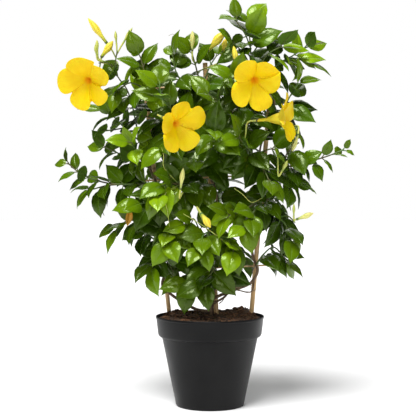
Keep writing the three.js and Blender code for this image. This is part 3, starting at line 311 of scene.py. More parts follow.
def sweep(
    path: Sequence[Vector],
    radius_at: Callable[[float], float],
    sides: int,
    material: int = 0,
    closed: bool = False,
) -> BMesh:
    """Sweeps a tube along a path, ring by ring.

    Args:
        path: the points of the path.
        radius_at: the radius at a share of the path.
        sides: how many sides the tube has.
        material: the index of its material.
        closed: whether the path comes back to its start; otherwise the ends are filled.

    Returns:
        The tube, with how far along it each corner is in its blade layer.
    """
    bm = blank()
    blade = bm.verts.layers.float_vector[BLADE]
    frames = stations(path, radius_at)
    ring = bmesh.ops.create_circle(bm, segments=sides, radius=1.0)["verts"]
    bmesh.ops.transform(bm, matrix=frames[0], verts=ring)
    first = bm.edges[:]
    edges = first
    for i, (before, after) in enumerate(zip(frames, frames[1:])):
        made = bmesh.ops.extrude_edge_only(bm, edges=edges)["geom"]
        ring = [item for item in made if isinstance(item, bmesh.types.BMVert)]
        edges = [item for item in made if isinstance(item, bmesh.types.BMEdge)]
        bmesh.ops.transform(bm, matrix=after @ before.inverted(), verts=ring)
        for vert in ring:
            vert[blade] = Vector(((i + 1) / (len(frames) - 1), 0.0, 1.0))
    if closed:
        bmesh.ops.bridge_loops(bm, edges=first + edges)
    else:
        bmesh.ops.edgeloop_fill(bm, edges=first)
        bmesh.ops.edgeloop_fill(bm, edges=edges)
    for face in bm.faces:
        face.material_index = material
    return bm


def spun(outline: Sequence[Pair], steps: int, material: int = 0) -> BMesh:
    """Spins an outline about the Z axis.

    Args:
        outline: radius and height of its points; a radius of 0 lies on the axis.
        steps: how many steps the full turn has.
        material: the index of its material.

    Returns:
        The spun mesh, with how far along the outline each corner is in its blade layer.
    """
    bm = blank()
    blade = bm.verts.layers.float_vector[BLADE]
    verts = []
    for i, (radius, height) in enumerate(outline):
        vert = bm.verts.new((radius, 0.0, height))
        vert[blade] = Vector((i / (len(outline) - 1), 0.0, 1.0))
        verts.append(vert)
    edges = [bm.edges.new(pair) for pair in zip(verts, verts[1:])]
    bmesh.ops.spin(
        bm, geom=verts + edges, cent=(0, 0, 0), axis=UP, angle=math.tau, steps=steps, use_merge=True
    )
    bmesh.ops.remove_doubles(bm, verts=bm.verts, dist=WELD)
    for face in bm.faces:
        face.material_index = material
    return bm


def thicken(bm: BMesh, depth: float) -> None:
    """Gives a sheet its underside, and marks the underside in its blade layer.

    Args:
        bm: the sheet, with its upper side out.
        depth: how far behind it the underside lies, in millimetres.
    """
    blade = bm.verts.layers.float_vector[BLADE]
    bm.normal_update()
    normals = {vert.co.to_tuple(): vert.normal.copy() for vert in bm.verts}
    made = bmesh.ops.extrude_face_region(bm, geom=bm.faces[:], use_keep_orig=True)["geom"]
    for item in made:
        if isinstance(item, bmesh.types.BMVert):
            item.co -= normals[item.co.to_tuple()] * depth
            item[blade] = Vector((item[blade].x, item[blade].y, 0.0))


def moved(bm: BMesh, matrix: Matrix) -> BMesh:
    """Returns a mesh after a matrix has moved all of it."""
    bmesh.ops.transform(bm, matrix=matrix, verts=bm.verts)
    return bm


def mark(bm: BMesh, mark_at: Callable[[Vector], float]) -> None:
    """Gives each corner of a piece of wood or soil its mark, from 0 to 1, by its place."""
    tone = bm.verts.layers.float_color[TONE]
    for vert in bm.verts:
        vert[tone] = (mark_at(vert.co), 0.0, 0.0, 1.0)


def shown(name: str, data: bpy.types.ID) -> bpy.types.Object:
    """Returns a new object of the scene that shows a mesh, a light or the camera."""
    made = bpy.data.objects.new(name, data)
    bpy.context.scene.collection.objects.link(made)
    return made


def metric(bm: BMesh) -> None:
    """Turns a mesh's millimetres into metres."""
    bmesh.ops.scale(bm, vec=(MM, MM, MM), verts=bm.verts)


def mesh_of(name: str, bm: BMesh) -> bpy.types.Mesh:
    """Returns a mesh with what a working mesh holds, and frees the working mesh."""
    mesh = bpy.data.meshes.new(name)
    bm.to_mesh(mesh)
    bm.free()
    return mesh


@dataclass(frozen=True)
class Making:
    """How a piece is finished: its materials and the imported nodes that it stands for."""

    name: str
    materials: Tuple[Material, ...]
    slot: str
    nodes: Tuple[str, ...] = ()
    crease: float = 42.0
    subdivisions: int = 0

    def finish(self, bm: BMesh) -> bpy.types.Object:
        """Makes a mesh in millimetres a piece of the scene, and frees the mesh.

        Args:
            bm: the mesh, in place.

        Returns:
            The piece, riding on the root body.
        """
        metric(bm)
        bmesh.ops.recalc_face_normals(bm, faces=bm.faces)
        for face in bm.faces:
            face.smooth = True
        limit = math.radians(self.crease)
        for edge in bm.edges:
            if len(edge.link_faces) == 2 and edge.calc_face_angle() > limit:
                edge.smooth = False
        mesh = mesh_of(self.name, bm)
        for material in self.materials:
            mesh.materials.append(material)
        piece = shown(self.name, mesh)
        if self.subdivisions:
            finer = piece.modifiers.new("finer", "SUBSURF")
            finer.levels = finer.render_levels = self.subdivisions
        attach(piece, "root")
        if self.nodes:
            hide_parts(*self.nodes)
        stood_for = ", ".join(self.nodes) or "no node"
        LOG.info("%s: %d faces, stands for %s", self.name, len(mesh.polygons), stood_for)
        return piece


# Finishes


class Weave:
    """Lays nodes in a material or a group."""

    def __init__(self, tree: Tree) -> None:
        """Works on one node tree."""
        self.tree = tree

    def node(
        self, kind: str, inputs: Optional[Dict[str, object]] = None, **settings: object
    ) -> bpy.types.Node:
        """Adds a node.

        Args:
            kind: the node's type, without its ShaderNode prefix.
            inputs: values or sockets for its named inputs.
            settings: values for its own properties.

        Returns:
            The node.
        """
        made = self.tree.nodes.new(kind if kind.startswith("Node") else f"ShaderNode{kind}")
        for key, value in settings.items():
            setattr(made, key, value)
        for key, value in (inputs or {}).items():
            self.feed(made.inputs[key], value)
        return made

    def feed(self, target: Socket, value: object) -> None:
        """Links a socket to an input, or sets the input's value."""
        if isinstance(value, Socket):
            self.tree.links.new(value, target)
        elif target.type == "RGBA" and len(value) == 3:
            target.default_value = (*value, 1.0)
        else:
            target.default_value = value

    def math(self, operation: str, *values: object, clamp: bool = False) -> Socket:
        """Returns the outcome of a Math node."""
        made = self.node("Math", operation=operation, use_clamp=clamp)
        for target, value in zip(made.inputs, values):
            self.feed(target, value)
        return made.outputs["Value"]

    def step(self, value: Socket, low: float, high: float, to: Pair = (0.0, 1.0)) -> Socket:
        """Returns a smooth rise of a value between two limits."""
        inputs = {"Value": value, "From Min": low, "From Max": high, "To Min": to[0], "To Max": to[1]}
        return self.node("MapRange", inputs, interpolation_type="SMOOTHSTEP").outputs["Result"]

    def mix(self, factor: Socket, a: object, b: object) -> Socket:
        """Returns a mix of two colours."""
        made = self.node("Mix", data_type="RGBA")
        for key, value in ((0, factor), (6, a), (7, b)):
            self.feed(made.inputs[key], value)
        return made.outputs[2]

    def attribute(self, name: str) -> Tuple[Socket, Socket, Socket]:
        """Returns the three numbers of a piece's own attribute."""
        found = self.node("Attribute", attribute_name=name)
        parts = self.node("SeparateXYZ", {"Vector": found.outputs["Vector"]})
        return parts.outputs["X"], parts.outputs["Y"], parts.outputs["Z"]

    def group(self, tree: Tree, inputs: Dict[str, object]) -> bpy.types.Node:
        """Places a node group with its values."""
        made = self.node("Group", node_tree=tree)
        for key, value in inputs.items():
            self.feed(made.inputs[key], value)
        return made


def new_group(name: str, inputs: Dict[str, object], outputs: Sequence[str]) -> Tuple:
    """Starts a shader node group.

    Args:
        name: the group's name.
        inputs: each input's name and first value, a number or three.
        outputs: the names of its outputs, which are numbers.

    Returns:
        The group, a Weave for it, the node of its inputs and the node of its outputs.
    """
    tree = bpy.data.node_groups.new(name, "ShaderNodeTree")
    for key, value in inputs.items():
        kind = "NodeSocketFloat" if isinstance(value, float) else "NodeSocketVector"
        tree.interface.new_socket(name=key, in_out="INPUT", socket_type=kind).default_value = value
    for key in outputs:
        tree.interface.new_socket(name=key, in_out="OUTPUT", socket_type="NodeSocketFloat")
    weave = Weave(tree)
    return tree, weave, weave.node("NodeGroupInput"), weave.node("NodeGroupOutput")


def grain_group() -> Tree:
    """Builds the group for patches and fine grain, on the piece's own coordinates.

    Returns:
        A group with the sizes of patch and grain per metre, and Patch and Grain from 0 to 1.
    """
    inputs = {"Patches": 40.0, "Grains": 600.0, "Stretch": (1.0, 1.0, 1.0)}
    tree, weave, given, out = new_group("grain", inputs, ("Patch", "Grain"))
    scaled = weave.node("VectorMath", operation="MULTIPLY")
    weave.feed(scaled.inputs[0], weave.node("TexCoord").outputs["Object"])
    weave.feed(scaled.inputs[1], given.outputs["Stretch"])
    for key, scale, detail in (("Patch", "Patches", 3.0), ("Grain", "Grains", 2.0)):
        fed = {"Vector": scaled.outputs["Vector"], "Scale": given.outputs[scale], "Detail": detail}
        texture = weave.node("TexNoise", fed)
        weave.feed(out.inputs[key], weave.step(texture.outputs["Fac"], 0.3, 0.7))
    return tree


def veins_group() -> Tree:
    """Builds the group for a leaf's rib and its side veins, which slant forward from the rib.

    Returns:
        A group with the places along and across the blade, and Rib, Vein and Raise from 0 to 1.
    """
    inputs = {"Along": 0.0, "Across": 0.0}
    pairs, rib_width, slant, bend, rib_depth = 8.0, 0.10, 0.24, 1.25, 1.6
    tree, weave, given, out = new_group("veins", inputs, ("Rib", "Vein", "Raise"))
    off = weave.math("ABSOLUTE", given.outputs["Across"])
    rib = weave.math("SUBTRACT", 1.0, weave.math("DIVIDE", off, rib_width), clamp=True)
    back = weave.math("MULTIPLY", weave.math("POWER", off, bend), slant)
    phase = weave.math("MULTIPLY", weave.math("SUBTRACT", given.outputs["Along"], back), pairs)
    wave = weave.math("ABSOLUTE", weave.math("SUBTRACT", weave.math("FRACT", phase), 0.5))
    vein = weave.math("MULTIPLY", weave.step(wave, 0.44, 0.5), weave.step(off, 1.0, 0.55))
    bulge = weave.math("SUBTRACT", 1.0, weave.math("MULTIPLY", wave, 2.0))
    weave.feed(out.inputs["Rib"], rib)
    weave.feed(out.inputs["Vein"], vein)
    weave.feed(out.inputs["Raise"], weave.math("SUBTRACT", bulge, weave.math("MULTIPLY", rib, rib_depth)))
    return tree


class Effects:
    """The node groups that several finishes share, built once."""

    def __init__(self) -> None:
        """Builds the groups."""
        self.grain = grain_group()
        self.veins = veins_group()


class Coat(Weave):
    """Lays a material's nodes round its Principled BSDF."""

    def __init__(self, name: str, effects: Optional[Effects] = None, **constants: object) -> None:
        """Starts a material.

        Args:
            name: the material's name.
            effects: the groups that it may use.
            constants: what is the same all over, by the shader's sockets, with _ for a space.
        """
        self.material = bpy.data.materials.new(name)
        self.material.use_nodes = True
        super().__init__(self.material.node_tree)
        self.shader = self.tree.nodes["Principled BSDF"]
        self.effects = effects
        for key, value in constants.items():
            self.give(key.replace("_", " "), value)

    def give(self, key: str, value: object) -> None:
        """Feeds a value or a socket to an input of the shader."""
        self.feed(self.shader.inputs[key], value)

    def gloss(self, pattern: Socket, low: float, high: float) -> None:
        """Lets the roughness follow a pattern, between two limits."""
        self.give("Roughness", self.step(pattern, 0.0, 1.0, (low, high)))

    def bumped(self, height: Socket, strength: float, distance: float) -> None:
        """Feeds a height to the shader's normal, through a Bump node of a distance in metres."""
        bump = self.node("Bump", {"Height": height, "Strength": strength, "Distance": distance})
        self.give("Normal", bump.outputs["Normal"])

    def grain(self, patches: float, grains: float, stretch: Place = (1.0, 1.0, 1.0)) -> Tuple[Socket, Socket]:
        """Returns patches and a fine grain from 0 to 1, from their numbers per metre."""
        inputs = {"Patches": patches, "Grains": grains, "Stretch": stretch}
        made = self.group(self.effects.grain, inputs)
        return made.outputs["Patch"], made.outputs["Grain"]


@dataclass(frozen=True)
class LeafFinish:
    """Glossy leaf: dark or light green above with paler veins, and a paler green below, tinted greener as a
    painted glow of light shining through.
    """

    dark: Colour = (0.0045, 0.0160, 0.0001)
    middle: Colour = (0.048, 0.112, 0.0004)
    young: Colour = (0.235, 0.390, 0.004)
    withered: Colour = (0.560, 0.270, 0.030)
    # the underside's own paler green, tinted greener and brighter as a painted glow of light shining through
    # the leaf
    below: Colour = (0.070, 0.145, 0.012)
    vein: Colour = (0.110, 0.200, 0.018)
    sheen: Colour = (0.84, 1.0, 0.52)

    def make(self, effects: Effects) -> Material:
        """Returns the material."""
        coat = Coat("leaf", effects, Specular_IOR_Level=0.44, Specular_Tint=self.sheen)
        along, across, above = coat.attribute(BLADE)
        youth, shade, wither = coat.attribute(TONE)
        veins = coat.group(effects.veins, {"Along": along, "Across": across})
        patch, _ = coat.grain(55.0, 900.0)
        aged = coat.mix(youth, coat.mix(shade, self.dark, self.middle), self.young)
        patched = coat.mix(coat.step(patch, 0.0, 1.0, (0.0, 0.35)), aged, self.middle)
        lines = coat.math("ADD", veins.outputs["Rib"], coat.math("MULTIPLY", veins.outputs["Vein"], 0.35))
        veined = coat.mix(coat.math("MULTIPLY", lines, 0.4, clamp=True), patched, self.vein)
        upper = coat.mix(wither, veined, self.withered)
        # underside: its own colour with the painted glow of light shining through, or the withered colour
        lower = coat.mix(wither, self.below, self.withered)
        coat.give("Base Color", coat.mix(above, lower, upper))
        gloss = coat.step(patch, 0.0, 1.0, (0.17, 0.29))
        coat.give("Roughness", coat.math("MULTIPLY_ADD", coat.math("SUBTRACT", 1.0, above), 0.3, gloss))
        coat.bumped(veins.outputs["Raise"], 0.22, 0.0004)
        return coat.material


@dataclass(frozen=True)
class PlainFinish:
    """Stems, wire or plastic: two colours in patches over a fine grain, with a little relief."""

    name: str
    colour: Colour
    other: Colour
    patches: float
    grains: float
    roughness: Pair
    relief: Pair
    gloss_in_patches: bool = False
    stretch: Place = (1.0, 1.0, 1.0)
    specular: float = 0.5
    metallic: float = 0.0

    def make(self, effects: Effects) -> Material:
        """Returns the material."""
        coat = Coat(self.name, effects, Specular_IOR_Level=self.specular, Metallic=self.metallic)
        patch, grain = coat.grain(self.patches, self.grains, self.stretch)
        coat.give("Base Color", coat.mix(patch, self.colour, self.other))
        coat.gloss(patch if self.gloss_in_patches else grain, *self.roughness)
        if self.relief[0] > 0:
            coat.bumped(grain, *self.relief)
        return coat.material


@dataclass(frozen=True)
class PetalFinish:
    """Satin petals: orange deep in the throat, and bright yellow with faint veins further out."""

    throat: Colour = (0.820, 0.350, 0.002)
    yellow: Colour = (0.880, 0.640, 0.000)
    deep: Colour = (0.800, 0.490, 0.000)
    outside: Colour = (0.760, 0.600, 0.030)
    veins: float = 9.0

    def make(self, effects: Effects) -> Material:
        """Returns the material."""
        glow = {"Subsurface_Weight": 0.18, "Subsurface_Scale": 0.004}
        coat = Coat("petal", effects, Specular_IOR_Level=0.22, **glow)
        along, across, above = coat.attribute(BLADE)
        patch, _ = coat.grain(70.0, 900.0)
        spread = coat.math("MULTIPLY", across, self.veins)
        rays = coat.node("CombineXYZ", {"X": spread, "Y": along, "Z": above})
        streak = coat.node("TexNoise", {"Vector": rays.outputs["Vector"], "Scale": 2.2, "Detail": 2.0})
        lines = coat.step(streak.outputs["Fac"], 0.45, 0.65)
        broad = coat.math("MULTIPLY_ADD", patch, 0.4, coat.math("MULTIPLY", lines, 0.4))
        tinted = coat.mix(broad, self.yellow, self.deep)
        inner = coat.mix(coat.step(along, 0.09, 0.27), self.throat, tinted)
        coat.give("Base Color", coat.mix(above, self.outside, inner))
        coat.gloss(patch, 0.45, 0.6)
        coat.bumped(lines, 0.18, 0.0005)
        return coat.material


class BudTint(Enum):
    """How ripe a bud is."""

    YELLOW = "yellow_bud"
    PALE = "pale_bud"
    GREEN = "green_bud"


@dataclass(frozen=True)
class BudFinish:
    """Furled petals: green at the foot, yellow towards the tip, with painted shade in the groove along each
    fold.
    """

    name: str
    foot: Colour = (0.330, 0.400, 0.040)
    tip: Colour = (0.840, 0.700, 0.060)
    # painted shade: the darker colour laid into the grooves between the folds
    fold: Colour = (0.560, 0.430, 0.030)
    turn: Pair = (0.02, 0.45)

    def make(self, effects: Effects) -> Material:
        """Returns the material."""
        glow = {"Subsurface_Weight": 0.12, "Subsurface_Scale": 0.003}
        coat = Coat(self.name, effects, Specular_IOR_Level=0.4, **glow)
        along, across, _ = coat.attribute(BLADE)
        patch, _ = coat.grain(120.0, 1200.0)
        ripe = coat.mix(coat.step(along, *self.turn), self.foot, self.tip)
        # painted shade: the fold colour darkens the deepest grooves of the folds
        coat.give("Base Color", coat.mix(coat.step(across, -0.55, -1.0, (0.0, 0.8)), ripe, self.fold))
        coat.gloss(patch, 0.4, 0.52)
        coat.bumped(patch, 0.1, 0.0003)
        return coat.material


@dataclass(frozen=True)
class WoodFinish:
    """Cane, bark or crumbs: two tones in long streaks, darker where the piece is marked."""

    name: str
    light: Colour
    dark: Colour
    mark: Colour
    stretch: Triple = (1.0, 1.0, 0.06)
    streaks: float = 260.0
    roughness: Pair = (0.4, 0.6)
    relief: float = 0.0004

    def make(self, effects: Effects) -> Material:
        """Returns the material."""
        coat = Coat(self.name, effects, Specular_IOR_Level=0.4)
        marked, _, _ = coat.attribute(TONE)
        patch, grain = coat.grain(25.0, self.streaks, self.stretch)
        streaked = coat.mix(grain, self.light, self.dark)
        blended = coat.mix(coat.math("MULTIPLY", patch, 0.45), streaked, self.dark)
        coat.give("Base Color", coat.mix(marked, blended, self.mark))
        coat.gloss(grain, *self.roughness)
        coat.bumped(grain, 0.35, self.relief)
        return coat.material


# each finish's third colour is the painted shade in its fold grooves
BUD_FINISHES = {
    BudTint.YELLOW: BudFinish("yellow_bud"),
    BudTint.PALE: BudFinish("pale_bud", (0.32, 0.40, 0.09), (0.70, 0.68, 0.22), (0.45, 0.45, 0.12)),
    BudTint.GREEN: BudFinish("green_bud", (0.20, 0.31, 0.045), (0.52, 0.56, 0.12), (0.24, 0.33, 0.06)),
}
STEM = PlainFinish(
    "green_stem", (0.085, 0.180, 0.030), (0.100, 0.080, 0.030), 30.0, 700.0, (0.45, 0.6), (0.2, 0.0004),
    stretch=(1.0, 1.0, 0.3), specular=0.4,
)
WIRE = PlainFinish(
    "wire", (0.30, 0.30, 0.29), (0.20, 0.19, 0.18), 200.0, 1500.0, (0.35, 0.5), (0.0, 0.0), metallic=1.0
)
PLASTIC = PlainFinish(
    "pot_plastic", (0.0040, 0.0040, 0.0043), (0.0072, 0.0072, 0.0074), 22.0, 1400.0, (0.33, 0.43),
    (0.10, 0.0002), gloss_in_patches=True, specular=0.17,
)
BAMBOO = WoodFinish("bamboo", (0.80, 0.57, 0.30), (0.56, 0.35, 0.15), (0.16, 0.09, 0.04))
BARK = WoodFinish(
    "bark", (0.30, 0.20, 0.12), (0.085, 0.050, 0.028), (0.20, 0.17, 0.08),
    stretch=(1.0, 1.0, 0.18), roughness=(0.65, 0.85), relief=0.0008,
)
POTTING_MIX = WoodFinish(
    "soil", (0.135, 0.078, 0.046), (0.020, 0.012, 0.008), (0.210, 0.100, 0.048),
    stretch=(1.0, 1.0, 1.0), streaks=420.0, roughness=(0.8, 0.95), relief=0.0016,
)


class Finishes:
    """Every material of the plant, made once."""

    def __init__(self) -> None:
        """Makes them."""
        effects = Effects()
        self.leaf = LeafFinish().make(effects)
        self.stem = STEM.make(effects)
        self.petal = PetalFinish().make(effects)
        self.buds = {tint: BUD_FINISHES[tint].make(effects) for tint in BudTint}
        self.bamboo = BAMBOO.make(effects)
        self.bark = BARK.make(effects)
        self.soil = POTTING_MIX.make(effects)
        self.wire = WIRE.make(effects)
        self.plastic = PLASTIC.make(effects)


# Pot and soil


@dataclass
class Pot:
    """A round nursery pot with a deep rim band, and drain holes in its floor."""

    height: float = 140.0
    rim_radius: float = 85.0
    base_radius: float = 53.5
    body_top_radius: float = 75.3
    band_bottom_radius: float = 81.3
    band_bottom: float = 112.0
    body_top: float = 107.0
    wall: float = 2.0
    floor: float = 3.0
    drain_holes: int = 5
    drain_radius: float = 4.5
    drain_circle: float = 36.0
    drill_sides: int = 24
    shoulder_out: float = 0.8
    shoulder_up: float = 3.0
    draft: float = 1.0
    steps: int = 120

    @property
    def shoulder(self) -> Pair:
        """Returns radius and height at which the inside widens into the band."""
        return self.body_top_radius - self.wall + self.shoulder_out, self.body_top + self.shoulder_up

    @property
    def floor_radius(self) -> float:
        """Returns the inner radius at the floor."""
        return self.base_radius - self.draft - self.wall

    def outside(self) -> List[Pair]:
        """Returns radius and height of the outline from the foot's middle to the rim, its lip rounded."""
        base, body, rim, half = self.base_radius, self.body_top_radius, self.rim_radius, self.wall / 2
        top, full = self.body_top, self.height
        turns = [math.radians(t) for t in range(0, 181, 30)]
        return [
            (0.0, 0.0), (base - 3.0, 0.0), (base - 0.8, 0.5), (base + 0.1, 1.8), (base + 0.4, 3.5),
            (lerp(base + 0.4, body, 0.5), lerp(3.5, top, 0.5)),
            (body - 0.1, top - 0.6), (body + 0.3, top), (body + 3.6, top + 1.4), (body + 4.6, top + 2.2),
            (self.band_bottom_radius, self.band_bottom),
            (lerp(self.band_bottom_radius, rim, 0.9) - 0.5, full - 4.0),
            (rim, full - 3.0),
            *((rim - half + half * math.cos(turn), full - 1.0 + math.sin(turn)) for turn in turns),
        ]

    def inside(self) -> List[Pair]:
        """Returns radius and height of the inner outline from the rim down to the floor's middle."""
        return [self.shoulder, (self.floor_radius, self.floor), (0.0, self.floor)]

    def inner_radius(self, height: float) -> float:
        """Returns the pot's inner radius at a height above its shoulder."""
        radius, start = self.shoulder
        return lerp(radius, self.rim_radius - self.wall, (height - start) / (self.height - start))

    def build(self, finishes: Finishes) -> None:
        """Spins the wall and floor, and cuts the drain holes."""
        shell = spun(self.outside() + self.inside(), self.steps)
        pot = Making("pot_shell", (finishes.plastic,), "pot_plastic", ("pot",), crease=32.0).finish(shell)
        drills = bmesh.new()
        for i in range(self.drain_holes):
            turn = i / self.drain_holes * math.tau
            bmesh.ops.create_cone(
                drills,
                cap_ends=True,
                segments=self.drill_sides,
                radius1=self.drain_radius,
                radius2=self.drain_radius,
                depth=self.floor * 4.0,
                matrix=Matrix.Translation(Vector((math.cos(turn), math.sin(turn), 0.0)) * self.drain_circle),
            )
        metric(drills)
        cutter = shown("drills", mesh_of("drills", drills))
        cut = pot.modifiers.new("drains", "BOOLEAN")
        cut.operation, cut.solver, cut.object = "DIFFERENCE", "EXACT", cutter
        bake_modifiers(pot)
        bpy.data.meshes.remove(cutter.data)  # and the cutter with it


def bake_modifiers(piece: bpy.types.Object) -> None:
    """Puts what a piece's modifiers make into its mesh, and takes the modifiers off."""
    seen = piece.evaluated_get(bpy.context.evaluated_depsgraph_get())
    made = bpy.data.meshes.new_from_object(seen)
    piece.modifiers.clear()
    old, name = piece.data, piece.data.name
    piece.data = made
    bpy.data.meshes.remove(old)
    made.name = name


@dataclass(frozen=True)
class Mound:
    """A heap in the soil."""

    x: float
    y: float
    rise: float
    spread: float


@dataclass
class Soil:
    """Potting mix: a lumpy bed with heaps, and loose crumbs and bark on it."""

    pot: Pot
    level: float = 138.0
    edge_drop: float = 3.0
    mounds: Tuple[Mound, ...] = (
        Mound(-60.0, 16.0, 9.0, 15.0),
        Mound(54.0, 26.0, 14.0, 16.0),
        Mound(0.0, 44.0, 5.0, 26.0),
    )
    gap: float = 0.3
    rings: int = 30
    steps: int = 96
    seed: int = 71
    crumbs: int = 560
    chips: int = 90
    rough: float = 0.22
    rise: Pair = (0.9, 0.6)
    fine: Tuple[Pair, ...] = ((0.16, 2.2), (0.45, 1.4))

    def height(self, x: float, y: float) -> float:
        """Returns how high the soil stands at a place."""
        reach = math.hypot(x, y) / (self.pot.rim_radius - self.pot.wall)
        heaped = sum(
            m.rise * math.exp(-((x - m.x) ** 2 + (y - m.y) ** 2) / (2 * m.spread**2)) for m in self.mounds
        )
        broad, slant = self.rise
        lumpy = broad * math.sin(x * 0.31 + 1.3) * math.cos(y * 0.27) + slant * math.sin(x * 0.13 - y * 0.22)
        return self.level - self.edge_drop * reach**4 + (heaped + lumpy) * (1 - reach**6)

    def bed(self) -> BMesh:
        """Returns the body of soil down to the pot's floor, with its top raised in lumps."""
        pot, gap = self.pot, self.gap
        edge = pot.inner_radius(self.level - self.edge_drop) - 2 * gap
        outline = [
            (0.0, pot.floor + gap),
            (pot.floor_radius - gap, pot.floor + gap),
            (pot.shoulder[0] - 2 * gap, pot.shoulder[1]),
        ]
        top = [(edge * (1 - i / self.rings), self.level) for i in range(self.rings + 1)]
        bed = spun(outline + top, self.steps)
        tone = bed.verts.layers.float_color[TONE]
        for vert in bed.verts:
            if vert.co.z < self.level - 0.01:
                continue
            reach = min(1.0, math.hypot(vert.co.x, vert.co.y) / edge)
            fine = lumps(vert.co, self.fine)
            vert[tone] = (max(0.0, noise.noise(vert.co * 0.09 + Vector((7.0, 0.0, 0.0)))), 0.0, 0.0, 1.0)
            vert.co.z = self.height(vert.co.x, vert.co.y) + fine * (1 - reach**4)
        return bed

    def loose(self) -> BMesh:
        """Returns crumbs and bark chips scattered on the bed."""
        draws = Draws(self.seed)
        parts = []
        for i in range(self.crumbs + self.chips):
            chip = i >= self.crumbs
            reach = math.sqrt(draws.next()) * 0.93
            turn = draws.next() * math.tau
            edge = self.pot.inner_radius(self.level) - 3.0
            x, y = math.cos(turn) * reach * edge, math.sin(turn) * reach * edge
            size = draws.between(2.0, 4.0) if chip else draws.between(0.8, 2.6) ** 1.2
            part = blank()
            bmesh.ops.create_icosphere(part, subdivisions=1, radius=size)
            brown = draws.next() ** (1.0 if chip else 2.5)
            flat = (draws.between(1.2, 2.2), draws.between(0.6, 1.0), draws.between(0.3, 0.5))
            bmesh.ops.scale(part, vec=flat if chip else (1.0, draws.between(0.7, 1.0), 0.8), verts=part.verts)
            for vert in part.verts:
                vert.co *= 1.0 + self.rough * draws.spread()
            mark(part, lambda place, brown=brown: brown)
            spin = Matrix.Rotation(draws.next() * math.tau, 4, "Z")
            tilt = Matrix.Rotation(draws.spread() * 0.6, 4, "X")
            rise = Matrix.Translation((x, y, self.height(x, y) + size * 0.35))
            parts.append(moved(part, rise @ (spin @ tilt)))
        return joined(parts)

    def build(self, finishes: Finishes) -> None:
        """Makes the bed and the loose bits."""
        Making("soil_bed", (finishes.soil,), "soil", ("soil",), crease=80.0).finish(self.bed())
        Making("soil_crumbs", (finishes.soil,), "soil", crease=30.0).finish(self.loose())


# Canes, bars and ties


@dataclass(frozen=True)
class Cane:
    """An upright cane of the fan, which leans in the fan's plane."""

    name: str
    x: float
    lean: float
    radius: float
    top: float
    back: float = 22.0
    lean_from: float = 146.0

    def at(self, height: float) -> Vector:
        """Returns the middle of the cane at a height."""
        return Vector((self.x + self.lean * (height - self.lean_from), self.back - self.radius, height))


@dataclass(frozen=True)
class Bar:
    """A thin cane across the fan, behind the uprights."""

    name: str
    height: float
    start: float
    end: float
    rise: float = 0.05

    def at(self, x: float) -> float:
        """Returns the height of the bar's middle at a place along it."""
        return self.height + self.rise * x


CANES = {
    "left": Cane("left", -65.2, -0.107, 3.5, 532.0),
    "middle": Cane("middle", 10.0, -0.045, 3.9, 540.0),
    "right": Cane("right", 66.6, 0.085, 3.8, 532.0),
}
BARS = (
    Bar("low", 213.0, -103.0, 96.0),
    Bar("middle", 358.0, -112.0, 104.0),
    Bar("top", 505.0, -120.0, 112.0),
)


